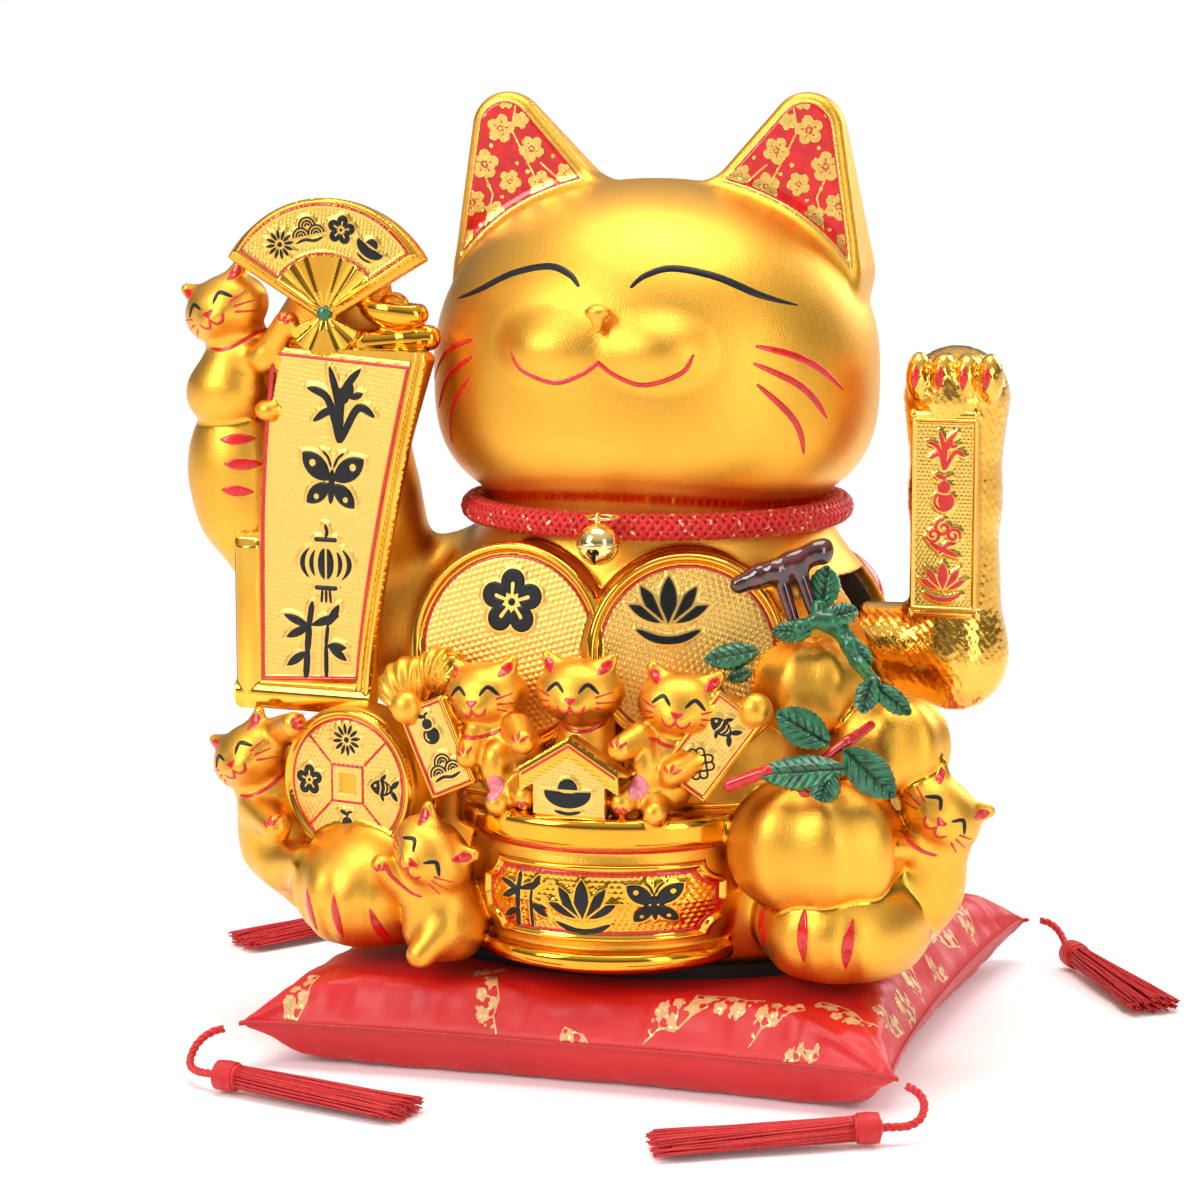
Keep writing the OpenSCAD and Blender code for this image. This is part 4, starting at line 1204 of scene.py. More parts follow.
def enamel_material(name, colour, coat=0.6, rough=0.22, vary=0.08, shine=0.5):
    mat, tree, bsdf = material(name)
    where = place_of(tree)
    pool = noise(tree, where, 260, 3)
    dark = tuple(c * (1 - vary * 3) for c in colour)
    link(tree, ramp(tree, pool, [(.35, dark), (.62, colour)]), bsdf, "Base Color")
    link(tree, ramp(tree, noise(tree, where, 420, 2), [(.3, rough * .7), (.7, rough * 1.4)]), bsdf,
         "Roughness")
    bsdf.inputs["Coat Weight"].default_value = coat
    bsdf.inputs["Coat Roughness"].default_value = .06
    bsdf.inputs["Specular IOR Level"].default_value = shine
    bump(tree, bsdf, noise(tree, where, 700, 2), .00008, .5)
    return mat


RED = enamel_material("red_enamel", (.66, .006, .006), coat=.4)
BLACK = enamel_material("black_enamel", (.006, .006, .006), coat=.12, rough=.36, shine=.28)
PINK = enamel_material("pink_enamel", (.86, .22, .25))
GREEN = enamel_material("green_enamel", (.008, .155, .048), coat=.4, rough=.26, vary=.2)
MAHOGANY = enamel_material("mahogany_glaze", (.10, .010, .008), coat=1.0, rough=.14, vary=.3)


def gold_panel():
    """The pressed panels: bright borders round a fine-grained ground."""
    mat, tree, bsdf = material("gold_panel")
    where = place_of(tree)
    satin = node(tree, "ShaderNodeAttribute", attribute_name="satin").outputs["Fac"]
    cloudy = noise(tree, where, 40, 3)
    grain = noise(tree, where, 2400, 1.5, .6)
    tone = ramp(tree, cloudy, [(.3, GOLD_MID), (.7, (.92, .50, .07))])
    pale = mix_colour(tree, grain, (.84, .46, .085), (.95, .62, .18))
    link(tree, mix_colour(tree, satin, tone, pale), bsdf, "Base Color")
    bsdf.inputs["Metallic"].default_value = 1
    rough = node(tree, "ShaderNodeMix", {0: satin, 2: .11, 3: .38}, data_type="FLOAT")
    link(tree, rough.outputs[0], bsdf, "Roughness")
    bump(tree, bsdf, math_node(tree, "MULTIPLY", grain, satin), .00012, .5)
    return mat


PANEL_GOLD = gold_panel()


def bumps(u, v, pitch):
    """Rows of offset round bumps, 0 to 1."""
    row = np.round(v / (pitch * .86))
    du = (u / pitch + .5 * (row % 2)) % 1 - .5
    dv = (v - row * pitch * .86) / pitch
    return np.clip(1 - (du * du + dv * dv) / .2, 0, 1) ** .6


def woven(u, v, pitch):
    """A slanting basket ground, 0 to 1."""
    a, b = (u * .8 + v * .6) / pitch, (-u * .6 + v * .8) / pitch
    return .5 + .5 * np.cos(a * 2 * math.pi) * np.cos(b * 2 * math.pi)


class Marks:
    """Ornaments set out on a panel, each (drawing, u, v, size, turn)."""

    def __init__(self, rows):
        self.rows = rows

    def __call__(self, u, v):
        d = np.full(np.shape(u), 1e3)
        for drawing, at_u, at_v, size, turn in self.rows:
            c, s = math.cos(math.radians(turn)), math.sin(math.radians(turn))
            du, dv = (u - at_u) / size, (v - at_v) / size
            near = np.maximum(np.abs(du), np.abs(dv)) < 1.6
            if near.any():
                d[near] = np.minimum(d[near], drawing((du * c + dv * s)[near], (-du * s + dv * c)[near])
                                     * size)
        return d

    def box(self):
        reach = [(u - 1.1 * s, u + 1.1 * s, v - 1.1 * s, v + 1.1 * s) for _, u, v, s, _ in self.rows]
        return min(r[0] for r in reach), max(r[1] for r in reach), min(r[2] for r in reach), max(r[3]
                for r in reach)


def panel(name, place, outline, box, border, marks, face, stands_for=(), rim=1.3, rim_width=2.6, ground=None,
          line_at=None, line_width=.55, step=0.42, lines=None):
    """A panel: pressed gold face, raised rim, red line inside it, black ornaments on low plateaus."""
    line_at = border if line_at is None else line_at
    ground = ground or (lambda u, v: .28 * woven(u, v, 2.6))

    def height(u, v):
        inner = -outline(u, v)
        t = np.clip(inner / rim_width, 0, 1)
        crown = rim * np.sin(np.clip(t, 0, 1) * math.pi) ** .7
        inside = np.clip((inner - border) / .8, 0, 1)
        raise_up = np.clip(1 - (marks(u, v) - .5) / 1.0, 0, 1)
        raise_up = raise_up * raise_up * (3 - 2 * raise_up)
        texture = ground(u, v) * (1 - raise_up)
        return face + np.where(inner < border, crown, 0) + inside * (texture + .55 * raise_up)

    def red(u, v):
        d = np.abs(-outline(u, v) - line_at) - line_width
        return np.minimum(d, lines(u, v)) if lines else d

    obj = relief(name + "_face", place, outline, box, height, step,
                 layers={"satin": lambda u, v: np.clip((-outline(u, v) - border) / .8, 0, 1)})
    finish_piece(obj, PANEL_GOLD, "bright_gold", "cat", stands_for)
    obj = enamel_on_panel(name + "_red_line", place, red, box, height, .3, .28, .5)
    finish_piece(obj, RED, "red_enamel")
    obj = enamel_on_panel(name + "_ornaments", place, marks, marks.box(), height, .24, .4, .6)
    finish_piece(obj, BLACK, "black_plastic")
    return height



# ---------- the panels ----------

def round2(r, at=(0, 0), squash=1.0):
    return lambda u, v: (np.hypot(u - at[0], (v - at[1]) / squash) - r)


def medallions():
    marks = Marks([(plum, 0.5, 16, 12.5, 0)])
    panel("left_medallion", LEFT_DISC, round2(36.8), (-38, 38, -38, 38), 5.2, marks, 5.9, rim=1.9,
          rim_width=3.8,
          line_at=5.2, line_width=.5, ground=lambda u, v: .34 * bumps(u * .95 + v * .3, v * .95 - u * .3,
                                                                      2.3))
    marks = Marks([(lotus, -6.5, 15.5, 12.5, 0)])
    panel("right_medallion", RIGHT_DISC, round2(34.4), (-36, 36, -36, 36), 5.0, marks, 5.9, rim=1.9,
          rim_width=3.8,
          line_at=5.0, line_width=.5, ground=lambda u, v: .34 * bumps(u * .95 - v * .3, v * .95 + u * .3,
                                                                      2.3))


def coin():
    marks = Marks([(aster, 0, 15.6, 6.2, 0), (gourd, 0, -15.6, 6.6, 0), (plum, -15.8, 0, 6, 0),
                   (fish, 15.8, 0, 6.8, 0)])

    def square(u, v):
        return np.maximum(np.abs(u), np.abs(v))

    def lines(u, v):
        spokes = np.maximum(np.abs(np.abs(u) - np.abs(v)) * .707 - .5, 7.2 - square(u, v))
        spokes = np.maximum(spokes, np.hypot(u, v) - 22.6)
        return np.minimum(spokes, np.abs(square(u, v) - 6.4) - .5)

    panel("fortune_coin", COIN, round2(26.6), (-28, 28, -28, 28), 3.8, marks, 7.1, rim=1.3, rim_width=2.8,
          lines=lines,
          line_at=3.8, ground=lambda u, v: np.where(square(u, v) < 6.4, -1.6 * (square(u, v) < 3.4) + .3,
                                                    .26 * bumps(u, v, 1.9)))


def scroll_outline(u, v):
    """The paper scroll: wide at its head, its sides swaying in to a narrower foot."""
    t = np.clip((v + 53.5) / 114, 0, 1.1)
    right = 12.6 + 21.5 * t ** 1.35
    left = -25.2 + 1.5 * t + 12 * np.clip(t - .45, 0, 1) ** 1.7
    top = 61.5 - (u + 12) * .068
    bottom = -53.8 + (u + 24) * .06
    return np.maximum(np.maximum(u - right, left - u) * .98, np.maximum(v - top, bottom - v))


def plaque():
    marks = Marks([(orchid, 6.4, 45, 14.6, 0), (butterfly, 3.2, 16.6, 13.6, -4),
                   (lantern, .6, -11.5, 14.2, 0), (bamboo, -4.4, -38.5, 13.2, 0)])

    def whole(u, v):
        t = np.clip((v + 60) / 120, 0, 1)
        right = 17.5 + 22.6 * t ** 1.3
        left = np.where(v > -3, -26 + 10 * np.clip(v / 62, 0, 1) ** 1.5, -35.8)
        return np.maximum(np.maximum(u - right, left - u) * .98, np.maximum(v - 63.6, -64.6 - v))

    def height(u, v):
        s = scroll_outline(u, v)
        t = np.clip((v + 60) / 120, 0, 1)
        right = 17.5 + 22.6 * t ** 1.3
        ridge = np.zeros_like(u)
        for off, wide, high in ((1.4, 1.5, 2.0), (4.6, 1.3, 1.5)):
            ridge = np.maximum(ridge, high * np.clip(1 - ((right - off - u) / wide) ** 2, 0, 1) ** .5)
        low_left = (v < -2) & (u < -25.5)
        bar = np.clip(1 - ((u + 30.6) / 4.6) ** 2, 0, 1) ** .5 * 2.4 * low_left * np.clip((-4 - v) / 3, 0, 1)
        foot = np.clip(1 - ((v + 59.6) / 4.4) ** 2, 0, 1) ** .5 * 2.4
        edge = np.maximum(np.maximum(ridge, bar), foot)
        raise_up = np.clip(1 - (marks(u, v) - .5) / 1.2, 0, 1)
        raise_up = raise_up * raise_up * (3 - 2 * raise_up)
        inside = np.clip(-s / 1.0, 0, 1)
        ground = .3 * woven(u, v, 2.4) * (1 - raise_up) + .6 * raise_up
        skin = .9 * np.clip(1 - np.abs(s) / 1.6, 0, 1)
        return 7.2 + np.where(s > 0, np.maximum(edge, skin), np.maximum(inside * ground, skin * .9))

    obj = relief("scroll_plaque_face", PLAQUE, whole, (-37, 42, -66, 65), height, .48,
                 layers={"satin": lambda u, v: np.clip(-scroll_outline(u, v) / .8, 0, 1)})
    finish_piece(obj, PANEL_GOLD, "bright_gold")
    red = enamel_on_panel("scroll_plaque_red_line", PLAQUE, lambda u, v: np.abs(scroll_outline(u, v) + .2)
                          - .75, (-28, 37, -57, 64), height, .32, .3, .6)
    finish_piece(red, RED, "red_enamel")
    black = enamel_on_panel("scroll_plaque_ornaments", PLAQUE, marks, marks.box(), height, .27, .45, .7)
    finish_piece(black, BLACK, "black_plastic")


def fan():
    marks = Marks([(aster, -16.2, 23.6, 5.6, 32), (wave, -5.8, 29, 5.8, 12), (plum, 6.6, 28.9, 5.6, -12),
                   (sycee, 17.5, 23.2, 5.8, -34)])
    spread = 1.0

    def band(u, v):
        r = np.hypot(u, v)
        edge = np.abs(u) * math.cos(spread) - v * math.sin(spread)
        return np.maximum(np.maximum(r - 37.6, 20.8 - r), edge + 1.2)

    def whole(u, v):
        return np.maximum(np.hypot(u, v) - 39.8, np.abs(u) * math.cos(spread) - v * math.sin(spread) - 1.2)

    def height(u, v):
        r, a = np.hypot(u, v), np.arctan2(u, v)
        ribs = .75 * np.abs(np.sin(a * 11)) ** .7 * np.clip((r - 2) / 6, 0, 1) * (r < 20.6)
        s = band(u, v)
        raise_up = np.clip(1 - (marks(u, v) - .4) / .9, 0, 1)
        inside = np.clip(-s / .7, 0, 1)
        rim = .8 * np.clip(1 - np.abs(s) / 1.3, 0, 1)
        edge = np.clip(1 - np.abs(whole(u, v) + 1.2) / 1.1, 0, 1)
        pressed = inside * (.2 * woven(u, v, 2) * (1 - raise_up) + .5 * raise_up)
        return 6.9 + np.where(s < 0, np.maximum(pressed, rim), 0) + ribs + edge

    obj = relief("fan_crest_face", FAN, whole, (-38, 38, -2, 41), height, .36, skirt=1.6,
                 layers={"satin": lambda u, v: np.clip(-band(u, v) / .8, 0, 1) * .7})
    finish_piece(obj, PANEL_GOLD, "bright_gold")
    red = enamel_on_panel("fan_crest_red_line", FAN, lambda u, v: np.abs(band(u, v)) - .5, (-36, 36, 8, 40),
                          height, .27, .26, .5)
    finish_piece(red, RED, "red_enamel")
    black = enamel_on_panel("fan_crest_ornaments", FAN, marks, marks.box(), height, .2, .35, .45)
    finish_piece(black, BLACK, "black_plastic")

    def leaf_outline(u, v):
        return np.maximum(np.hypot(u, v + 1) - 13.4, np.abs(u) * math.cos(1.15) + (v + 1) * math.sin(1.15)
                          - .6)

    def leaf_height(u, v):
        r, a = np.hypot(u, v), np.arctan2(u, -v)
        return 7.3 + .8 * np.abs(np.sin(a * 7)) ** .7 * np.clip((r - 2) / 4, 0, 1)

    lower = relief("fan_crest_lower_leaf", FAN, leaf_outline, (-15, 15, -16, 1), leaf_height, .36, skirt=1.6,
                   layers={"satin": lambda u, v: u * 0})
    finish_piece(lower, PANEL_GOLD, "bright_gold")
    rivet = enamel_on_panel("fan_crest_rivet", FAN, round2(2.7), (-3, 3, -3, 3), lambda u, v: 7.4 + u * 0,
                            .3, 1.6, 2.6)
    finish_piece(rivet, GREEN, "leaf_green")


def slip_outline(half_u, half_v, corner=1.0):
    def field(u, v):
        du, dv = np.abs(u) - half_u + corner, np.abs(v) - half_v + corner
        return np.hypot(np.maximum(du, 0), np.maximum(dv, 0)) + np.minimum(np.maximum(du, dv), 0) - corner
    return field


def banners():
    marks = Marks([(gourd, 0, 7, 5.8, 0), (wave, 0, -6.6, 5.9, 0)])
    panel("left_banner", LEFT_SLIP, slip_outline(8.9, 15.9), (-10, 10, -17, 17), 1.5, marks, 6.6, rim=.7,
          rim_width=1.6, line_at=1.5, line_width=.42, step=.36, ground=lambda u, v: .16 * woven(u, v, 1.8))
    marks = Marks([(fish, 0, 7.4, 6.4, 0), (knot, 0, -7.2, 6.2, 0)])
    panel("right_banner", RIGHT_SLIP, slip_outline(9.4, 16.9), (-11, 11, -18, 18), 1.5, marks, 6.6, rim=.7,
          rim_width=1.6, line_at=1.5, line_width=.42, step=.36, ground=lambda u, v: .16 * woven(u, v, 1.8))


def house():
    marks = Marks([(sycee, -.3, 8.6, 8.6, 0)])

    def walls(u, v):
        return np.maximum(np.abs(u) - 12.4, np.maximum(v - 18, .6 - v))

    def both(u, v):
        gable = np.abs(u) * .53 + v * .85 - 22.8
        eaves = np.maximum(np.abs(u) - 17.2, 13.9 - np.abs(u) * .62 + 4.6 - v)
        return np.minimum(np.maximum(gable, eaves), walls(u, v))

    def roof_line(u, v):
        return np.maximum(np.abs(np.abs(u) * .53 + v * .85 - 20.3) - .55, np.abs(u) - 16.4)

    def height(u, v):
        roof = np.clip(1 - np.abs(np.abs(u) * .53 + v * .85 - 21.0) / 2.4, 0, 1) ** .6
        raise_up = np.clip(1 - (marks(u, v) - .4) / .9, 0, 1)
        weave = .16 * woven(u, v, 1.8) * (1 - raise_up) * (roof < .1)
        return .1 + .9 * roof + weave + .45 * raise_up * (roof < .3)

    obj = relief("house_tablet_face", HOUSE, both, (-18, 18, 0, 28), height, .36, skirt=2.6,
                 layers={"satin": lambda u, v: np.clip(1.4 * (17.5 - np.abs(u) * .6 - v * .85), 0, 1)})
    finish_piece(obj, PANEL_GOLD, "bright_gold")
    red = enamel_on_panel("house_tablet_red_line", HOUSE, roof_line, (-17, 17, 12, 27), height, .24, .26, .5)
    finish_piece(red, RED, "red_enamel")
    black = enamel_on_panel("house_tablet_ornament", HOUSE, marks, marks.box(), height, .22, .4, .55)
    finish_piece(black, BLACK, "black_plastic")


cast_cat()
medallions()
coin()
plaque()
fan()
banners()
house()


# ---------- enamel on the cat's own forms ----------

def drape(place, u, v, field, lift):
    """Points thrown along a frame's face onto a form, how far each one went, and the form's normals there."""
    points = place.world(u, v, np.full(len(u), lift))
    gone = np.zeros(len(u))
    for _ in range(30):
        d = np.clip(field(points) * .85, -4, 12)
        points = points - place.out * d[:, None]
        gone += d
    return points, gone, slope(field, points, .3)


def draped_sheet(name, place, drawing, box, field, rise_to, step=.34, lift=14.0, reach=26.0, skirt=.5):
    """A sheet that lies on a form and stands rise_to(u, v) above it."""
    u, v, quads, tris = sheet_grid(drawing, box, step)
    points, gone, normals = drape(place, u, v, field, lift)
    good = gone < lift + reach
    quads = quads[good[quads].all(1)]
    tris = tris[good[tris].all(1)]
    points = points + normals * rise_to(u, v)[:, None]
    return sheet_piece(name, points, normals, quads, tris, skirt)


def enamel(name, place, drawing, box, field, paint_with, slot, high=.3, wide=.6, body="cat", **how):
    def rise_to(u, v):
        return bead(-drawing(u, v), high, wide) - .02
    obj = draped_sheet(name, place, drawing, box, field, rise_to, **how)
    return finish_piece(obj, paint_with, slot, body)


def skull(p):
    return melt(head(p), ear(p), 6)


def blossom_gold():
    mat, tree, bsdf = material("blossom_gold")
    where = place_of(tree)
    link(tree, ramp(tree, noise(tree, where, 900, 2), [(.3, (.86, .52, .09)), (.7, (1.0, .72, .22))]), bsdf,
         "Base Color")
    bsdf.inputs["Metallic"].default_value = 1
    bsdf.inputs["Roughness"].default_value = .3
    return mat


def face():
    front = Place((0, -60, 215))

    def eyes(u, v):
        line_of = [(9.3, 19.7), (13.5, 23.4), (22, 25.7), (36, 22.9), (50, 16.7), (61.4, 12.8)]
        return brush(np.abs(u), v, line_of, 1.15, 8, (.5, .12))

    def mouth(u, v):
        line_of = [(32, -2.5), (28.2, -8.5), (16, -12.6), (6, -9.6), (0, -5.4)]
        return brush(np.abs(u), v, line_of, .85, 8, (.5, 1))

    enamel("eye_lines", front, eyes, (-63, 63, 11, 28), skull, BLACK, "black_plastic", .4, .8, step=.3)
    enamel("mouth_line", front, mouth, (-34, 34, -15, 0), skull, RED, "red_enamel", .34, .6, step=.3)
    strokes = [[(-8.4, 7), (4.9, 3.6), (16, -1.4), (27.6, -9.5)],
               [(-9.5, 1.2), (4.9, -5.3), (13, -11), (19.8, -18.6)],
               [(-8.4, -6), (2.8, -15.5), (8, -22), (11.3, -30.5)]]
    for side, name in ((1, "left"), (-1, "right")):
        cheek = Place((56 * side, -48, 208), yaw=45 * side)

        def whiskers(u, v):
            return any_of(*[brush(u * side, v, run, 1.2, 8, (.45, .2)) for run in strokes])

        box = (-13, 31, -33, 10) if side > 0 else (-31, 13, -33, 10)
        enamel(name + "_whiskers", cheek, whiskers, box, skull, RED, "red_enamel", .3, .6, step=.32, lift=22)


EAR_FLOWERS = [(56, 286, 5.6, 10), (44.5, 279, 5.2, 40), (62, 273.5, 5.8, 0), (52.5, 267.5, 4.6, 25),
               (66.5, 260, 5.4, 50),
               (41, 266.5, 5.4, 5), (31.5, 270.5, 4.4, 30), (58, 256.5, 4.4, 15), (69.5, 246.5, 4.8,
                       35), (54, 296, 3.6, 0), (48.5, 289, 3.4, 20)]
EAR_DOTS = [(50, 274), (36.5, 276.5), (59.5, 280), (69, 268), (49, 259.5), (63.5, 252), (72.5, 254),
            (62, 291), (46, 271), (55.5, 262), (66, 281), (38, 261), (67, 239.5), (60.5, 266), (29, 266)]


def ears():
    front = Place((0, -7, 0))

    def shape(u, v):
        m = np.abs(u)
        outline = outline2(EAR_OUTLINE)(m, v) - EAR_CORNER
        edge = head(np.stack([m.ravel(), np.full(m.size, -7.0), v.ravel()], 1)).reshape(m.shape)
        return outline, edge

    def ground(u, v):
        outline, edge = shape(u, v)
        return np.maximum(outline + 3.6, 2.6 - edge)

    def rim(u, v):
        outline, edge = shape(u, v)
        return np.abs(np.maximum(outline + 3.1, 2.1 - edge)) - .55

    def blossoms(u, v):
        m = np.abs(u)
        flowers = Marks([(plum, at_u, at_v, size, turn) for at_u, at_v, size, turn in EAR_FLOWERS])(m, v)
        dots = any_of(*[disc2(m, v, at, .75) for at in EAR_DOTS])
        stems = any_of(line(m, v, [(60, 245), (61.5, 252), (59, 263), (63, 272)], .32),
                       line(m, v, [(39, 257), (41.5, 266), (47, 276), (52, 286), (50, 296)], .32),
                       line(m, v, [(70, 240), (66.5, 250)], .32), line(m, v,
                               [(27, 268), (34, 268), (41, 274)], .32))
        return np.maximum(any_of(flowers, dots, stems), ground(u, v) + .4)

    box = (-82, 82, 226, 303)
    gilt = blossom_gold()
    enamel("ear_grounds", front, ground, box, skull, RED, "red_enamel", .3, .8, step=.5, lift=6, reach=8)
    enamel("ear_rims", front, rim, box, skull, gilt, "bright_gold", .42, .5, step=.36, lift=6, reach=8)
    obj = draped_sheet("ear_blossoms", front, blossoms, box, skull, lambda u, v: .34 + 0 * u, step=.3,
                       lift=6, reach=8, skirt=.2)
    finish_piece(obj, gilt, "bright_gold")


def kitten_black(m, v):
    return brush(m, v, [(.2, .06), (.4, .25), (.66, .03)], .05, 6, (.5, .4))


def kitten_red(m, v):
    nose = np.maximum(np.maximum(m * .86 - .13, v + .06), m * .9 - (v + .26))
    mouth = brush(m, v, [(0, -.3), (.1, -.44), (.26, -.42), (.35, -.28)], .038, 5, (1, .6))
    feelers = any_of(seg2(m, v, (.6, -.06), (.93, .04), .035, .02),
                     seg2(m, v, (.62, -.2), (.97, -.22), .035, .02),
                     seg2(m, v, (.6, -.34), (.9, -.46), .035, .02))
    inner_ear = leaf2(m, v, (.58, .46), 50, .42, .26)
    collar = brush(m, v, [(0, -1.02), (.3, -.98), (.6, -.84)], .05, 5, (1, .6))
    return any_of(nose, mouth, feelers, inner_ear, collar)


def kitten_faces():
    for name, spec in KITTENS.items():
        field = SPRIGS["row_kittens" if name.startswith("row") else name][0]
        place = Place(spec["at"], spec["yaw"], spec["roll"])
        r = spec["r"]

        def black(u, v):
            return kitten_black(np.abs(u) / r, v / r) * r

        def red(u, v):
            return kitten_red(np.abs(u) / r, v / r) * r

        enamel(name + "_eyes", place, black, (-.8 * r, .8 * r, -.1 * r, .4 * r), field, BLACK,
               "black_plastic", .28, .45, step=.24, lift=20, reach=14)
        enamel(name + "_red", place, red, (-1.1 * r, 1.1 * r, -1.12 * r, .95 * r), field, RED, "red_enamel",
               .26, .42, step=.26, lift=20, reach=16)


# name: (sprig, place on the paw, its yaw, length of each mark, direction of the first, step to the next)
PAW_MARKS = {
    "coin_paw_high": ("coin_kitten", (-110, -78, 81.5), -13, 4.6, -20, 40),
    "coin_paw_low": ("coin_kitten", (-117, -78, 44.5), -13, 4.6, 150, -40),
    "foot_kitten_paw": ("foot_kitten", (-67.5, -104, 37), -8, 3.8, 60, 40),
    "persimmon_paw_high": ("persimmon_kitten", (103.5, -80, 51.5), 14, 4.2, 140, 40),
    "persimmon_paw_low": ("persimmon_kitten", (98, -79, 36), 14, 4.2, 150, 40),
    "row_paw_a": ("row_kittens", (-17.5, -104, 85), 0, 3.9, 40, 50),
    "row_paw_b": ("row_kittens", (16.8, -104, 84.8), 0, 3.9, 40, 50),
    "row_paw_c": ("row_kittens", (-38, -100, 78.5), 0, 3.9, 60, 50),
    "row_paw_d": ("row_kittens", (33.5, -99, 76), 0, 3.9, 30, 50),
    "row_paw_e": ("row_kittens", (-17, -102, 66), 0, 3.9, 230, 40),
    "row_paw_f": ("row_kittens", (17.3, -102, 66), 0, 3.9, 230, 40),
    "fan_paw": ("fan_kitten", (-119, -59, 219), -8, 4.2, 30, 45),
}


def paws():
    for name, (sprig, at, yaw, length, first, gap) in PAW_MARKS.items():
        place = Place(at, yaw=yaw)

        def marks(u, v):
            turns = [first + gap * k for k in range(3)]
            return any_of(*[leaf2(u, v, (.9 * math.cos(math.radians(t)), .9 * math.sin(math.radians(t))), t,
                                  length * .8, length * .34) for t in turns])

        reach = length * 1.3
        enamel(name, place, marks, (-reach, reach, -reach, reach), SPRIGS[sprig][0], RED, "red_enamel", .24,
               .4, step=.2, lift=8, reach=9)

    def big_paw(u, v):
        return any_of(leaf2(u, v, (-6.6, 8.6), 2, 12.4, 4), leaf2(u, v, (-4.4, .2), 0, 12.8, 4.2),
                      leaf2(u, v, (-5.6, -9), -3, 11.6, 3.9))

    enamel("raised_paw_marks", Place((-139, -56, 169), yaw=-8), big_paw, (-9, 11, -13, 13), raised_arm, RED,
           "red_enamel", .34, .7, lift=10)

    def right_stripes(u, v):
        return any_of(leaf2(u, v, (-15.6, -8.5), 96, 19, 3.9), leaf2(u, v, (.8, -9.6), 90, 20, 4.1),
                      leaf2(u, v, (14.6, -11), 82, 18.5, 3.9))

    def left_stripes(u, v):
        return any_of(leaf2(u, v, (-11.8, -7.5), 99, 17, 3.4), leaf2(u, v, (-1.2, -8.6), 95, 17.5, 3.6),
                      leaf2(u, v, (13.6, -12), 104, 17, 3.4))

    box = (-19, 19, -14, 13)
    enamel("right_foot_stripes", Place((77, -90, 23.5)), right_stripes, box, right_foot, RED, "red_enamel",
           .34, .7, lift=14)
    enamel("left_foot_stripes", Place((-84, -90, 19)), left_stripes, box, left_foot, RED, "red_enamel", .34,
           .7, lift=14)
    for name, at in (("left_tail_tip", (-28, -100, 68.5)), ("right_tail_tip", (22.4, -100, 71.5))):
        enamel(name, Place(at), round2(3.3, squash=1.25), (-5, 5, -6, 6), row_kittens, PINK, "red_enamel",
               .3, .9, step=.25, lift=9)


def bowl_panel():
    front = Place((0, -104, 32))

    def outline(u, v):
        """An oblong whose corners are nicked by quarter rounds."""
        du, dv = u - 7.2, v
        plain = np.maximum(np.abs(du) - 40.6, np.abs(dv) - 13.4)
        nick = 6.2 - np.hypot(np.abs(du) - 40.6, np.abs(dv) - 13.4)
        return np.maximum(plain, nick)

    marks = Marks([(bamboo, -17, -.5, 9.4, 0), (lotus, 4.6, -.5, 10.4, 0), (butterfly, 27.5, -.5, 9.4, 0)])

    def height(u, v):
        inner = -outline(u, v)
        crown = 1.5 * np.sin(np.clip(inner / 2.6, 0, 1) * math.pi) ** .7
        inside = np.clip((inner - 2.9) / .8, 0, 1)
        raise_up = np.clip(1 - (marks(u, v) - .5), 0, 1)
        pressed = inside * (.3 * bumps(u, v, 2.1) * (1 - raise_up) + .5 * raise_up)
        return .5 + np.where(inner < 2.9, crown, 0) + pressed

    box = (-35, 49, -15, 15)
    obj = draped_sheet("bowl_panel_face", front, outline, box, treasure_bowl, height, step=.42, lift=6,
                       reach=26, skirt=1.4)
    finish_piece(obj, PANEL_GOLD, "bright_gold")
    red = draped_sheet("bowl_panel_red_line", front, lambda u, v: np.abs(-outline(u, v) - 3.3) - .7, box,
                       treasure_bowl,
                       lambda u, v: height(u, v) + bead(.7 - np.abs(-outline(u, v) - 3.3), .26,
                                                        .5), step=.32, lift=6)
    finish_piece(red, RED, "red_enamel")
    black = draped_sheet("bowl_panel_ornaments", front, marks, marks.box(), treasure_bowl,
                         lambda u, v: height(u, v) + bead(-marks(u, v), .4, .6), step=.26, lift=6)
    finish_piece(black, BLACK, "black_plastic")
    enamel("bowl_red_line", Place((0, -104, 50)), lambda u,
           v: np.maximum(np.abs(v + .5) - .8, np.abs(u - 3) - 41),
           (-40, 46, -2, 2), treasure_bowl, RED, "red_enamel", .3, .6, lift=6)


# ---------- leaves, vine, branch and twig ----------

class Blade(Place):
    """A frame laid along a leaf: u from its base to its tip, v across it, h out of its face."""

    def __init__(self, base, tip, facing):
        self.origin = np.asarray(base, float)
        run = np.asarray(tip, float) - self.origin
        self.length = float(np.linalg.norm(run))
        self.right = run / self.length
        facing = np.asarray(facing, float)
        self.out = facing - self.right * (facing @ self.right)
        self.out /= np.linalg.norm(self.out)
        self.up = np.cross(self.out, self.right)


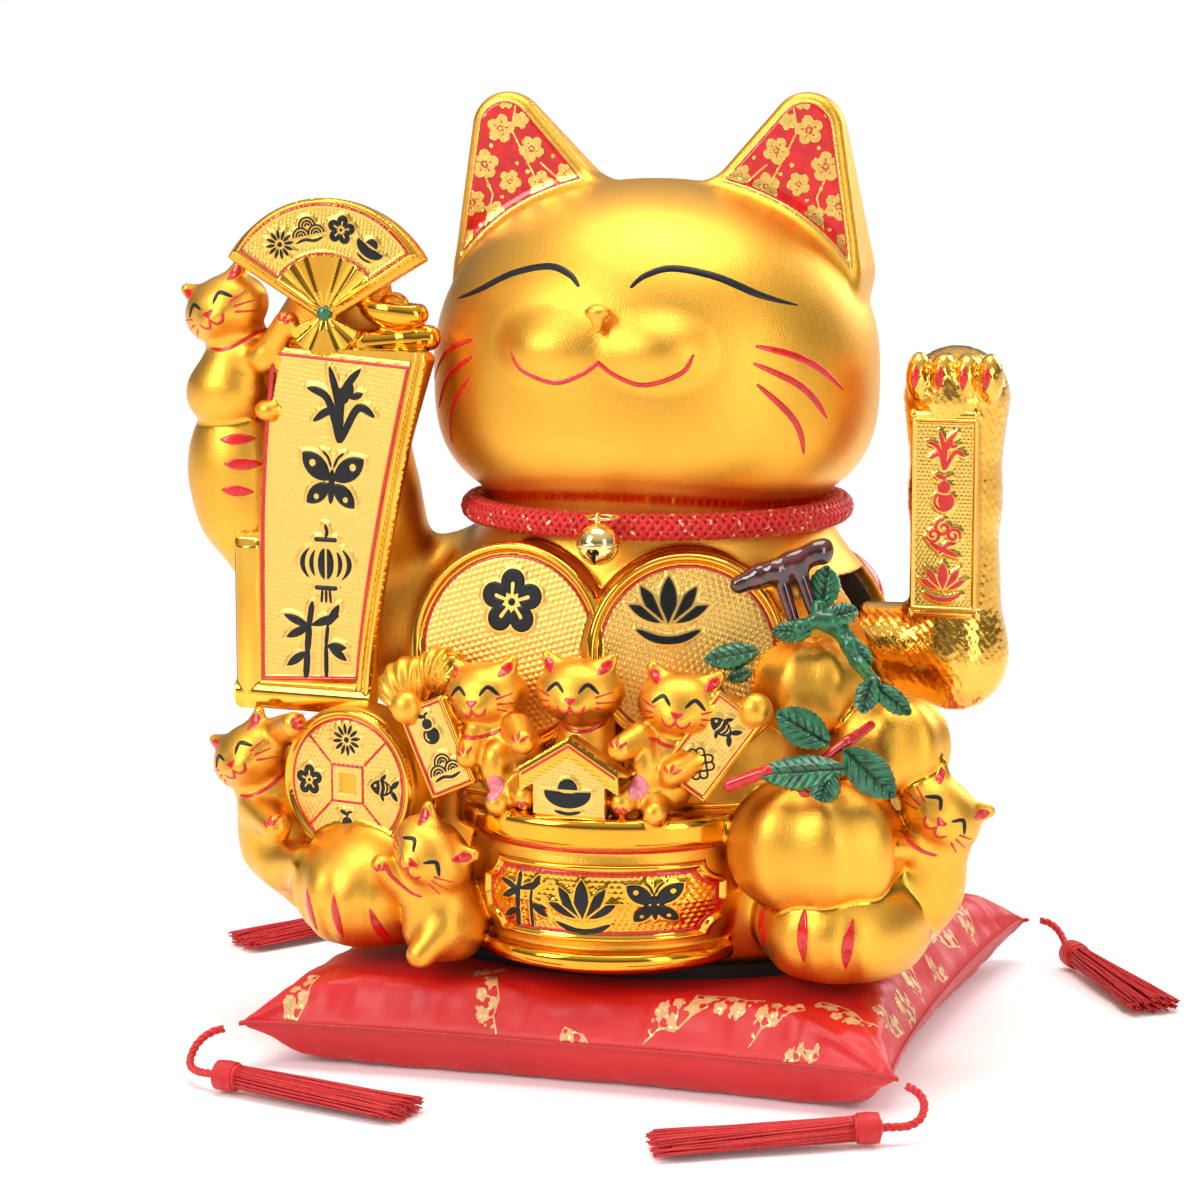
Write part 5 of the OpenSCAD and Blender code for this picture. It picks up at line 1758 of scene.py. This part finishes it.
LEAVES = [   # (base, tip, facing, width)
    ((76, -64.5, 128), (77, -62, 143), (.1, -1, .25), 10.5),
    ((58.5, -79, 116), (39.5, -80, 111.8), (-.15, -1, .4), 8.5),
    ((56, -79.5, 109), (47.5, -80, 105.8), (-.1, -1, .2), 4.6),
    ((85.5, -91, 88), (68, -93.5, 98.5), (-.1, -1, .5), 12.5),
    ((93, -96.5, 81), (63, -97.5, 78), (0, -1, .6), 11.5),
    ((87, -97, 80), (84.5, -100, 70.5), (0, -1, .2), 10.5),
    ((90, -91, 87), (107, -88, 71), (.1, -1, .3), 13),
    ((97, -80, 108.5), (94.5, -84, 97.5), (.2, -1, .3), 8),
    ((97, -79, 106.5), (110, -78, 97), (.25, -1, .3), 7.5),
    ((75, -73, 122), (62, -77, 122.5), (-.1, -1, .5), 7),
    ((78, -70, 126), (89, -67, 129.5), (.2, -1, .5), 7.5),
    ((86, -68, 118), (94, -70, 110.5), (.2, -1, .4), 8),
]


def leaves():
    for number, (base, tip, facing, width) in enumerate(LEAVES):
        blade = Blade(base, tip, facing)
        length = blade.length

        def outline(u, v):
            return leaf2(u, v, (0, 0), 0, length, width) + .16 * np.cos(u * 3.1)

        def height(u, v):
            across = np.abs(v) / (width / 2)
            fold = 1 - np.exp(-(v / .9) ** 2)
            ribs = .16 * np.cos((u - np.abs(v) * .8) * 2.2)
            return 1.1 + 1.1 * fold * (1 - across ** 2) + ribs * fold - 1.2 * (u / length) ** 2

        def veins(u, v):
            m = np.abs(v)
            starts = np.arange(.14, .9, .15) * length
            side = [seg2(u, m, (s, 0), (s + width * .34, width * .36), .27, .12) for s in starts]
            rib = seg2(u, v, (0, 0), (length * .97, 0), .42, .18)
            return np.maximum(any_of(rib, *side), outline(u, v) + .5)

        box = (-1, length + 1, -width / 2 - 1, width / 2 + 1)
        name = "leaf_%02d" % (number + 1)
        obj = relief(name, blade, outline, box, height, .3, 3.4)
        finish_piece(obj, GREEN, "leaf_green", "cat", ["leaves"] if number == 0 else ())
        obj = enamel_on_panel(name + "_veins", blade, veins, box, height, .17, .16, .3)
        finish_piece(obj, BLACK, "black_plastic")


def vine(p):
    d = chain(p, [(68, -74, 120.5), (76, -70, 126), (84, -66.5, 121), (90, -69, 112), (97, -78, 107),
                  (98, -80, 103)], [1.6, 2.4, 2.6, 2.4, 2.1, 1.5], 2)
    bumps_at = [((71, -74, 123.5), 3.1), ((80, -69.5, 125.5), 3.4), ((87, -68.5, 117.5), 3.2),
                ((76, -68, 130), 2.6)]
    return melt(d, melt_all([ball(p, at, (r, r, r)) for at, r in bumps_at], 1), 2.4)


def branch_form(p):
    d = chain(p, [(53, -96, 73.5), (66, -96, 79), (83, -92, 82.5), (90, -84, 88), (96, -76.5, 92.5)],
              [2.3, 1.9, 1.9, 1.8, 1.5], 1.4)
    stub = limb(p, (79, -93, 81.5), (78.5, -95.5, 73), 1.8, 2.3)
    return melt(d, stub, 1.6)


def twig_form(p):
    d = chain(p, [(49, -70.5, 136.5), (56, -69, 139.5), (66, -66, 144), (74, -63.5, 147.5)],
              [3.1, 3.7, 3.4, 4.3], 3)
    legs = melt(limb(p, (62, -68, 141), (67.5, -69, 125), 2.6, 2.2),
                limb(p, (68, -66, 143), (74, -67, 127.5), 2.6, 2), 2.5)
    knots = melt(ball(p, (76.5, -62.5, 148), (2.9, 3.4, 4.2)), ball(p, (61, -70, 141.5), (3.2, 2.8, 3.6)), 2)
    return melt(melt(d, legs, 3.4), knots, 2)


def stems():
    for name, field, lo, hi, look, slot, stands in (
            ("vine", vine, (62, -84, 96), (103, -60, 135), GREEN, "leaf_green", ()),
            ("branch", branch_form, (48, -102, 68), (100, -72, 97), RED, "red_enamel", ("branch",)),
            ("twig", twig_form, (43, -77, 120), (82, -56, 154), MAHOGANY, "twig_brown", ("twig",))):
        verts, normals, quads = sculpt(field, lo, hi, .55)
        finish_piece(make_piece(name, verts, quads, normals), look, slot, "cat", stands)


face()
ears()
kitten_faces()
paws()
bowl_panel()
leaves()
stems()


# ---------- tubes, rope and bell ----------

def frames_along(points):
    """Tangents with a steady side and up for each point of a path."""
    pts = np.asarray(points, float)
    run = np.gradient(pts, axis=0)
    run /= np.linalg.norm(run, axis=1)[:, None]
    side = np.zeros_like(run)
    first = np.cross(run[0], (0, 0, 1.0))
    side[0] = first / (np.linalg.norm(first) + 1e-9) if np.linalg.norm(first) > .1 else (1, 0, 0)
    for i in range(1, len(run)):
        s = side[i - 1] - run[i] * (side[i - 1] @ run[i])
        side[i] = s / np.linalg.norm(s)
    return run, side, np.cross(run, side)


def tube(points, radii, sides=8, closed=False):
    """Vertices and quads of a round tube; open ones get a small cap at each end."""
    pts = np.asarray(points, float)
    radii = np.broadcast_to(radii, len(pts)).astype(float)
    if not closed:
        pts = np.concatenate([pts[:1], pts, pts[-1:]])
        radii = np.concatenate([[1e-3], radii, [1e-3]])
        run, side, up = frames_along(pts[1:-1])
        side, up = (np.concatenate([a[:1], a, a[-1:]]) for a in (side, up))
    else:
        run, side, up = frames_along(pts)
    angle = np.arange(sides) * 2 * math.pi / sides
    ring = np.cos(angle)[None, :, None] * side[:, None] + np.sin(angle)[None, :, None] * up[:, None]
    verts = (pts[:, None] + ring * radii[:, None, None]).reshape(-1, 3)
    count = len(pts)
    i, j = np.meshgrid(np.arange(count if closed else count - 1), np.arange(sides), indexing="ij")
    a, b = i * sides + j, i * sides + (j + 1) % sides
    c, d = ((i + 1) % count) * sides + (j + 1) % sides, ((i + 1) % count) * sides + j
    return verts, np.stack([a.ravel(), d.ravel(), c.ravel(), b.ravel()], 1)


def bundle(name, tubes, base=True):
    """Several tubes as one mesh."""
    verts, quads, start = [], [], 0
    for v, q in tubes:
        verts.append(v)
        quads.append(q + start)
        start += len(v)
    return make_piece(name, np.concatenate(verts), np.concatenate(quads), base=base)


def thread(name, colour, fleck=None, rough=.45):
    mat, tree, bsdf = material(name)
    where = place_of(tree)
    tone = ramp(tree, noise(tree, where, 500, 3), [(.3, tuple(c * .72 for c in colour)), (.7, colour)])
    if fleck:
        spot = ramp(tree, noise(tree, where, 620, 1), [(.60, 0.0), (.64, 1.0)])
        tone = mix_colour(tree, spot, tone, fleck)
        link(tree, math_node(tree, "MULTIPLY", spot, .9), bsdf, "Metallic")
    link(tree, tone, bsdf, "Base Color")
    bsdf.inputs["Roughness"].default_value = rough
    bsdf.inputs["Sheen Weight"].default_value = .08
    bump(tree, bsdf, noise(tree, where, 3800, 2), .00012, .7)
    return mat


ROPE_RING, ROPE_Z = 65.0, 153.7


def neck_rope():
    """A round plait of twelve yarns, six each way, over a core."""
    around = np.linspace(0, 2 * math.pi, 721)[:-1]
    turns, red, fleck = 22, [], []
    for way in (1, -1):
        for k in range(6):
            wind = way * turns * around + 2 * math.pi * k / 6
            r = 3.62 + .38 * np.cos(turns * 6 * around + (0 if way > 0 else math.pi))
            ring = ROPE_RING + r * np.cos(wind)
            points = np.stack([ring * np.cos(around), ring * np.sin(around), ROPE_Z + r * np.sin(wind)], 1)
            (fleck if k % 3 == 0 else red).append(tube(points, .92, 6, True))
    core = np.stack([ROPE_RING * np.cos(around), ROPE_RING * np.sin(around), around * 0 + ROPE_Z], 1)
    red.append(tube(core[::4], 3.4, 10, True))
    yarn = thread("rope_yarn", (.74, .010, .008))
    finish_piece(bundle("neck_rope_yarns", red), yarn, "rope_red", "cat", ["neck_rope"])
    metal = thread("rope_fleck_yarn", (.74, .012, .01), (.90, .62, .26), .3)
    finish_piece(bundle("neck_rope_fleck_yarns", fleck), metal, "rope_red")


def metal(name, colour, rough=.22, grain=.00004, scale=1200):
    mat, tree, bsdf = material(name)
    where = place_of(tree)
    dark = tuple(c * .86 for c in colour)
    link(tree, ramp(tree, noise(tree, where, 60, 3), [(.3, dark), (.7, colour)]), bsdf, "Base Color")
    link(tree, ramp(tree, noise(tree, where, 240, 3), [(.3, rough * .8), (.7, rough * 1.3)]), bsdf,
         "Roughness")
    bsdf.inputs["Metallic"].default_value = 1
    bump(tree, bsdf, noise(tree, where, scale, 2), grain, .6)
    return mat


def plastic(name, colour, rough=.42):
    mat, tree, bsdf = material(name)
    where = place_of(tree)
    dark = tuple(c * .9 for c in colour)
    link(tree, ramp(tree, noise(tree, where, 30, 2), [(.3, dark), (.7, colour)]), bsdf, "Base Color")
    link(tree, ramp(tree, noise(tree, where, 900, 2), [(.3, rough * .85), (.7, rough * 1.2)]), bsdf,
         "Roughness")
    bump(tree, bsdf, noise(tree, where, 2200, 2), .00004, .5)
    return mat


BELL = (2.0, -77.7, 149.1)


def bell_form(p):
    q = p - np.array(BELL)
    r = np.sqrt((q * q).sum(1))
    shell = np.abs(r - 6.75) - .35
    rib = np.maximum(np.abs(np.hypot(q[:, 0], q[:, 1]) - 6.9) - .35, np.abs(q[:, 2]) - .55)
    d = melt(shell, rib, .5)
    slot = np.maximum(np.abs(q[:, 0]) - .55, q[:, 2] + 1.2)
    slot = np.maximum(slot, np.abs(q[:, 1]) - 5.4)
    eye = np.hypot(np.abs(q[:, 0]) - .9, q[:, 2] + 2.2) - 1.25
    eye = np.minimum(eye, np.hypot(np.abs(q[:, 0]) - .3, q[:, 2] + 3.4) - 1.0)
    eye = np.maximum(eye, q[:, 1] + 3)
    return meet(d, -np.minimum(slot, eye), .25)


def bell():
    brass = metal("bell_brass", (.95, .70, .28), .13)
    verts, normals, quads = sculpt(bell_form, np.array(BELL) - 7.4, np.array(BELL) + 7.4, .34)
    upper = verts[quads].mean(1)[:, 2] >= BELL[2]
    for name, keep, body in (("bell_upper", upper, "bell"), ("bell_lower", ~upper, "bell")):
        obj = cut_out(name + "_cup", verts, normals, quads, keep)
        finish_piece(obj, brass, "bell_brass", body, [name])
    return brass


# ---------- the beckoning arm ----------

ARM_X, PIVOT_Z = 108.5, 106.0
TOES = (97.2, 105.6, 114.0, 121.8)


def pebbles(p, pitch):
    """A slow uneven hammering, -1 to 1."""
    x, y, z = (p * (2 * math.pi / pitch)).T
    broad = np.sin(x + 1.3 * np.sin(z * .7)) * np.sin(z * .9 + 1.1 * np.sin(x * .6 + y * .5))
    return (broad + np.sin(x * 1.7 + z * 1.3 + y) * .6) / 1.6


def arm_surface(p):
    lower = limb(p, (ARM_X, 0, PIVOT_Z - 1), (ARM_X - 1, 0, 160), 16.6, 14.4)
    upper = limb(p, (ARM_X - 1, 0, 160), (ARM_X - .5, -1.5, 194.5), 14.4, 18.3)
    d = melt(lower, upper, 8)
    elbow = ball(p, (ARM_X, 0, PIVOT_Z - 1), (17.5, 16.4, 19.5))
    d = melt(d, elbow, 6)
    stub = meet(np.hypot(p[:, 1], p[:, 2] - PIVOT_Z) - 16.2, np.maximum(74.2 - p[:, 0], p[:, 0] - ARM_X),
                2.5)
    d = melt(d, stub, 5)
    toes = [ball(p, (x, -13.2, 202.5), (4.5, 6.2, 8.6)) for x in TOES]
    d = melt(d, np.minimum.reduce(toes), 1.6)
    return d + .10 * pebbles(p, 5.2)


def arm():
    plate = metal("hammered_plate", (.93, .50, .085), .17, .00026, 620)
    verts, normals, quads = sculpt(arm_surface, (72, -21, 84), (129, 20, 216), .85)
    front = verts[quads].mean(1)[:, 1] < 0
    for name, keep in (("arm_front", front), ("arm_back", ~front)):
        obj = cut_out(name + "_half", verts, normals, quads, keep)
        finish_piece(obj, plate, "arm_plate", "arm", [name + "_shell"])

    toe_frame = Place((ARM_X, -20, 203))

    def toe_marks(u, v):
        return any_of(*[leaf2(u, v, (x - ARM_X - .6, -4.6), 86, 9, 2.7) for x in TOES])

    enamel("arm_toe_marks", toe_frame, toe_marks, (-14, 16, -6, 6), arm_surface, RED, "red_enamel", .4, .6,
           "arm", step=.24, lift=6, reach=14)
    scroll = Place((ARM_X - 1, -18.5, PIVOT_Z + 50))
    outline = slip_outline(11.6, 33.2, .8)
    marks = Marks([(orchid, 0, 22.4, 7.4, 0), (gourd, 0, 7.6, 6.8, 0), (cloud, 0, -7.8, 7.2, 0),
                   (lotus, 0, -22.6, 7.4, 0)])

    def height(u, v):
        inner = -outline(u, v)
        crown = .9 * np.sin(np.clip(inner / 1.5, 0, 1) * math.pi) ** .7
        raise_up = np.clip(1 - (marks(u, v) - .35) / .8, 0, 1)
        inside = np.clip((inner - 1.6) / .5, 0, 1)
        pressed = inside * (.12 * bumps(u, v, 1.5) * (1 - raise_up) + .45 * raise_up)
        return .25 + np.where(inner < 1.6, crown, 0) + pressed

    relief_gold = metal("arm_relief_gold", (.97, .58, .12), .16, .00012, 1100)
    obj = relief("arm_scroll_face", scroll, outline, (-12.5, 12.5, -34, 34), height, .34, 8)
    finish_piece(obj, relief_gold, "arm_relief", "arm", ["arm_scroll"])
    red = enamel_on_panel("arm_scroll_marks", scroll, marks, marks.box(), height, .19, .3, .45)
    finish_piece(red, RED, "red_enamel", "arm")
    rods = []
    for v in (-34, 34):
        across = np.array([-12.6, -11.6, -11, -10.6, -10, 10, 10.6, 11, 11.6, 12.6])
        points = scroll.world(across, np.full(10, float(v)), np.full(10, -1.6))
        rods.append(tube(points, [1.5, 2.1, 2.1, 1.5, 1.8, 1.8, 1.5, 2.1, 2.1, 1.5], 20))
    finish_piece(bundle("arm_scroll_rods", rods), relief_gold, "arm_relief", "arm")


# ---------- cords and tassels ----------

def twisted_cord(name, route):
    """Three plies laid round each other along a route in the row frame's mm."""
    path = smooth_run(route, 10)
    steps = np.concatenate([[0], np.cumsum(np.linalg.norm(np.diff(path, axis=0), axis=1))])
    even = np.linspace(0, steps[-1], int(steps[-1] / .45))
    path = np.stack([np.interp(even, steps, path[:, k]) for k in range(3)], 1)
    _, side, up = frames_along(path)
    plies = []
    for k in range(3):
        turn = even * 2 * math.pi / 7.5 + k * 2 * math.pi / 3
        offset = .66 * (np.cos(turn)[:, None] * side + np.sin(turn)[:, None] * up)
        plies.append(tube(path + offset, .8, 8))
    obj = bundle(name, plies, base=False)
    return obj, path, float(steps[-1])


def tassel(name, path, seed, silk):
    """A bound head over the cord's end, and a loose skirt of threads that lies on the table."""
    rng = np.random.default_rng(seed)
    ends = path[-1]
    run = path[-1] - path[-24]
    run[2] = 0
    run /= np.linalg.norm(run)
    across = np.array([-run[1], run[0], 0])
    start = ends - run * 23
    tubes = []
    for k in range(15):
        t = k / 14
        ring_r = 4.9 - .5 * abs(t - .5)
        angle = np.linspace(0, 2 * math.pi, 29)[:-1]
        at = start + run * (1.2 + 6.4 * t)
        ring = at + ring_r * (np.cos(angle)[:, None] * across + np.sin(angle)[:, None]
                              * np.array([0, 0, 1.0]))
        tubes.append(tube(ring, .42, 6, True))
    head_run = np.linspace(-.6, 9.2, 12)
    head_r = np.interp(head_run, (-.6, .6, 2, 7, 9.2), (1.6, 3.8, 4.7, 4.7, 4.2))
    tubes.append(tube(start + head_run[:, None] * run, head_r, 20))
    for k in range(230):
        angle = rng.uniform(0, 2 * math.pi)
        reach = math.sqrt(rng.uniform(0, 1))
        length = 66.5 * rng.uniform(.9, 1.0)
        t = np.linspace(0, 1, 15)
        spread = 4.0 + 6.6 * t ** .8
        flat = 4.0 - 1.2 * t
        wave = .5 * np.sin(t * rng.uniform(5, 11) + rng.uniform(0, 6)) * t
        sideways = spread * reach * math.cos(angle) + wave + rng.normal(0, .6) * t ** 2
        upward = flat * reach * math.sin(angle)
        points = start + run * 8.2 + (t * length)[:, None] * run + sideways[:, None] * across
        points[:, 2] = np.maximum(ends[2] - 2.6 * t + upward, .45)
        tubes.append(tube(points, .34, 4))
    obj = bundle(name, tubes, base=False)
    return finish_piece(obj, silk, "tassel_silk", "cushion", ["tassels"] if seed == 1 else ())


def tassels():
    silk = thread("tassel_silk", (.66, .006, .007), None, .4)
    for seed, (corner, route) in enumerate(TASSEL_ROUTES.items(), 1):
        route = [tuple(float(c) for c in point) for point in route]
        last = np.array(route[-1]) - np.array(route[-2])
        last /= np.linalg.norm(last)
        longer = route + [tuple(np.array(route[-1]) + last * 14)]
        cord, path, length = twisted_cord("tassel_cord_" + corner + "_plies", longer)
        finish_piece(cord, silk, "tassel_silk", "cushion", ["tassel_cord_" + corner])
        skirt = tassel("tassel_" + corner, path, seed, silk)
        points = [tuple(point * MM) for point in path[::3]]
        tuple(points[0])


# ---------- the cushion ----------

CUSHION_HALF = 117.5


def edge_pull(t):
    """How far out the seam runs: full at the corners, drawn in between them."""
    return 1 - .052 * (1 - t ** 2) ** .8


def puckers(x, y, s, t, side):
    """Soft folds out of the corners and short gathers along the seam."""
    d = 0 * x
    for cx in (-1, 1):
        for cy in (-1, 1):
            dx, dy = CUSHION_HALF * cx - x, CUSHION_HALF * cy - y
            away, angle = np.hypot(dx, dy), np.arctan2(dy * cy, dx * cx)
            folds = np.cos(angle * 17 + cx * 1.1 + cy * 2.3 + side)
            folds = folds + .5 * np.cos(angle * 31 + cx + 2 * cy + side)
            d = d + folds * .85 * np.exp(-away / 34) * np.clip(away / 12, 0, 1)
    edge = np.maximum(s, t)
    along = np.where(s > t, y, x)
    gathers = np.sin(along * .42 + 2.4 * np.sin(along * .05 + side)) + .6 * np.sin(along * .93 + 1.7 * side)
    d = d + .55 * gathers * np.clip((edge - .80) / .14, 0, 1) * np.clip((1 - edge) / .035, 0, 1)
    broad = np.sin(x * .031 + 1.4 * side) * np.sin(y * .027 + side) + .5 * np.sin(x * .055 - y * .043 + side)
    return d + .9 * broad * np.clip((1 - edge) / .1, 0, 1)


def cushion_grid(n):
    """The pad as two n by n grids joined at the seam: vertices, quads and the seam's vertex numbers."""
    line_of = np.linspace(-1, 1, n)
    line_of = np.sign(line_of) * (1 - (1 - np.abs(line_of)) ** 1.25)
    a, b = np.meshgrid(line_of, line_of, indexing="ij")
    x = a * CUSHION_HALF * edge_pull(b)
    y = b * CUSHION_HALF * edge_pull(a)
    s, t = np.abs(a), np.abs(b)
    half = 16 * ((1 - s ** 4.6) * (1 - t ** 4.6)) ** .66
    faces = []
    for side in (1, -1):
        z = half + puckers(x, y, s, t, side) * np.clip(half / 5, 0, 1)
        faces.append(np.stack([x, y, -16 + side * z], -1).reshape(-1, 3))
    ids = np.arange(n * n).reshape(n, n)
    quads = np.stack([ids[:-1, :-1], ids[1:, :-1], ids[1:, 1:], ids[:-1, 1:]], -1).reshape(-1, 4)
    rim = np.zeros((n, n), bool)
    rim[0] = rim[-1] = rim[:, 0] = rim[:, -1] = True
    under = np.where(rim, ids, ids + n * n).reshape(-1)
    verts = np.concatenate(faces)
    quads = np.concatenate([quads, under[quads][:, ::-1]])
    edge = np.concatenate([ids[:, 0], ids[-1, 1:], ids[-2::-1, -1], ids[0, -2:0:-1]])
    used, quads = np.unique(quads.ravel(), return_inverse=True)
    return verts[used], quads.reshape(-1, 4), np.searchsorted(used, edge)


def swell(obj, most):
    """The cover puffed out by its filling in a short cloth run, no point moving further than most (mm)."""
    before = np.empty(len(obj.data.vertices) * 3, np.float32)
    obj.data.vertices.foreach_get("co", before)
    cloth = obj.modifiers.new("filling", "CLOTH")
    cloth.settings.use_pressure = True
    cloth.settings.uniform_pressure_force = 4
    cloth.settings.effector_weights.gravity = 0
    cloth.settings.tension_stiffness = cloth.settings.compression_stiffness = 8
    cloth.settings.shear_stiffness = 3
    cloth.settings.bending_stiffness = .05
    cloth.settings.quality = 6
    cloth.point_cache.frame_end = 20
    for number in range(1, 21):
        bpy.context.scene.frame_set(number)
    ready = obj.evaluated_get(bpy.context.evaluated_depsgraph_get())
    after = np.empty_like(before)
    ready.data.vertices.foreach_get("co", after)
    obj.modifiers.remove(cloth)
    bpy.context.scene.frame_set(1)
    moved = (after - before).reshape(-1, 3) / MM
    far = np.linalg.norm(moved, axis=1, keepdims=True) + 1e-9
    moved *= np.minimum(far, most) / far
    return before.reshape(-1, 3) / MM - BASE + moved


def rest_between(verts):
    """The pad pressed flat where the cat sits and where it lies on the table."""
    x, y, z = verts.T
    z = np.clip(z, -32, 0)
    sat_on = np.clip((1.16 - np.hypot(x / 90, y / 76)) / .16, 0, 1) * (z > -16)
    sat_on = sat_on * sat_on * (3 - 2 * sat_on)
    lying = np.clip((1.02 - np.maximum(np.abs(x), np.abs(y)) / 104) / .16, 0, 1) * (z < -16)
    z = z * (1 - sat_on)
    z = z * (1 - lying) - 32 * lying
    return np.stack([x, y, z], 1)


def satin():
    mat, tree, bsdf = material("cushion_satin")
    where = place_of(tree)
    slant = node(tree, "ShaderNodeMapping", {0: where}, vector_type="POINT")
    slant.inputs["Rotation"].default_value = (0, 0, .8)
    slant.inputs["Scale"].default_value = (1.0, .16, 1.0)
    threads = noise(tree, slant.outputs[0], 2600, 2)
    cloudy = noise(tree, where, 22, 3)
    tone = ramp(tree, cloudy, [(.3, (.54, .005, .006)), (.7, (.66, .007, .008))])
    link(tree, mix_colour(tree, math_node(tree, "MULTIPLY", threads, .3), tone, (.48, .006, .008)), bsdf,
         "Base Color")
    link(tree, ramp(tree, threads, [(.3, .34), (.7, .48)]), bsdf, "Roughness")
    bsdf.inputs["Anisotropic"].default_value = .5
    bsdf.inputs["Sheen Weight"].default_value = .1
    bsdf.inputs["Sheen Roughness"].default_value = .35
    bsdf.inputs["Sheen Tint"].default_value = (1, .35, .3, 1)
    bump(tree, bsdf, threads, .00012, .5)
    return mat


def sprig(u, v):
    """A brocade spray: plum flowers, buds and a crooked twig, two units across."""
    flowers = Marks([(plum, -.45, .18, .26, 10), (plum, .05, .34, .22, 40), (plum, -.12, -.12, .2, 5),
                     (plum, .5, .12, .24, 25), (plum, .82, .32, .15, 0)])(u, v)
    twig = any_of(line(u, v, [(-.95, -.42), (-.5, -.2), (-.05, -.3), (.4, -.12), (.95, .05)], .028),
                  line(u, v, [(-.5, -.2), (-.55, .1)], .02), line(u, v, [(-.05, -.3), (.05, .1)], .02),
                  line(u, v, [(.4, -.12), (.46, .05)], .02))
    bud_places = ((-.8, -.2), (-.72, .02), (.26, .1), (.68, .02), (.92, .18), (-.3, .42))
    buds = any_of(*[disc2(u, v, at, .05) for at in bud_places])
    return any_of(flowers, twig, buds)


SPRAYS = [   # (x, y, size, turn)
    (36, -99, 11, 10), (52, -93, 12, 165), (70, -98, 10, 20), (92, -92, 11, 150), (104, -78, 10, 70), (80,
            -108, 7, 0),
    (-30, -97, 10, 95), (-36, -82, 7, 40), (-96, -104, 10, 70), (-104, -86, 8, 20), (-101, -40, 9,
            100), (-98, 14, 10, 70),
    (104, -50, 9, 85), (99, -22, 11, 110), (103, 4, 8, 70), (98, 34, 11, 60), (101, 66, 9, 100), (92, 92, 9,
            20),
    (-92, 78, 11, 20), (-60, 98, 9, 170), (-20, 96, 11, 0), (24, 101, 9, 30), (60, 96, 10, 175), (4, -106,
            7, 150), ]


def brocade(cover, look):
    """The woven sprays lie on the satin as a skin of raised threads."""
    depth = bpy.context.evaluated_depsgraph_get()
    tree = BVHTree.FromObject(cover, depth)
    flat = Place((0, 0, 40), pitch=-90)

    for number, (x, y, size, turn) in enumerate(SPRAYS):
        reach = size * 1.1
        one = Marks([(sprig, x, y, size, turn)])
        u, v, quads, tris = sheet_grid(one, (x - reach, x + reach, y - reach, y + reach), .42)
        points = flat.world(u, v, np.zeros(len(u)))
        normals = np.zeros((len(u), 3))
        good = np.zeros(len(u), bool)
        for i, point in enumerate(points):
            hit = tree.ray_cast(Vector((point + BASE) * MM), Vector((0, 0, -1)))
            if hit[0] is not None:
                points[i] = np.array(hit[0]) / MM - BASE
                normals[i] = hit[1]
                good[i] = True
        quads = quads[good[quads].all(1)]
        tris = tris[good[tris].all(1)]
        obj = sheet_piece("brocade_%02d" % (number + 1), points + normals * .12, normals, quads, tris, .1)
        finish_piece(obj, look, "cushion_satin", "cushion")


def cushion():
    verts, quads, edge = cushion_grid(90)
    cover = make_piece("cushion_satin_cover", verts, quads)
    puffed = swell(cover, 5.0)
    puffed = rest_between(puffed)
    cover.data.vertices.foreach_set("co", ((puffed + BASE) * MM).astype(np.float32).ravel())
    cover.data.update()
    finer = cover.modifiers.new("finer", "SUBSURF")
    finer.levels = finer.render_levels = 1
    finish_piece(cover, satin(), "cushion_satin", "cushion", ["cushion_cover", "cushion_filling"])
    seam = tube(puffed[edge], .8, 8, True)
    finish_piece(bundle("cushion_seam", [seam]), thread("seam_thread", (.56, .01, .01)), "cushion_satin",
                 "cushion")
    brocade(cover, thread("brocade_thread", (.80, .40, .16), (.95, .66, .26), .34))


# ---------- finishes of the hidden and back parts, which keep their CAD shape ----------

FINISHES = {
    "felt": ("felt", ["base_pad"]),
    "ivory": ("ivory_plastic", ["battery_door", "battery_box", "swing_lever", "base_plate"]),
    "black": ("black_plastic", ["power_socket", "switch_knob", "drive_frame"]),
    "steel": ("steel", ["arm_shaft", "frame_screws", "bell_pellet"]),
    "iron": ("iron", ["counterweight"]),
    "copper": ("copper_coil", ["drive_coil"]),
    "board": ("board_green", ["circuit_board"]),
    "cells": ("cell_wrap", ["batteries"]),
    "contacts": ("contact_steel", ["battery_contacts"]),
    "brass": ("bell_brass", ["bell_staple", "bell_ring", "rope_clasp"]),
}


def cad_finishes(brass):
    felt = thread("black_felt", (.018, .017, .018), None, .95)
    looks = {"felt": felt, "ivory": plastic("ivory_plastic", (.80, .74, .60)),
             "black": plastic("black_plastic", (.02, .02, .022)),
             "steel": metal("steel", (.62, .62, .64), .25), "iron": metal("iron", (.28, .27, .27), .5),
             "copper": metal("copper_coil", (.85, .36, .16), .3, .0002,
                             1600), "board": plastic("board_green", (.02, .22, .08), .3),
             "cells": plastic("cell_wrap", (.04, .10, .30), .28), "contacts": metal("contact_steel",
                     (.74, .72, .68), .2),
             "brass": brass}
    for kind, (slot, nodes) in FINISHES.items():
        for name in nodes:
            obj = bpy.data.objects[name]
            obj.data.materials.clear()
            obj.data.materials.append(looks[kind])


neck_rope()
cad_finishes(bell())
arm()
tassels()
cushion()
simple_stage()
studio()
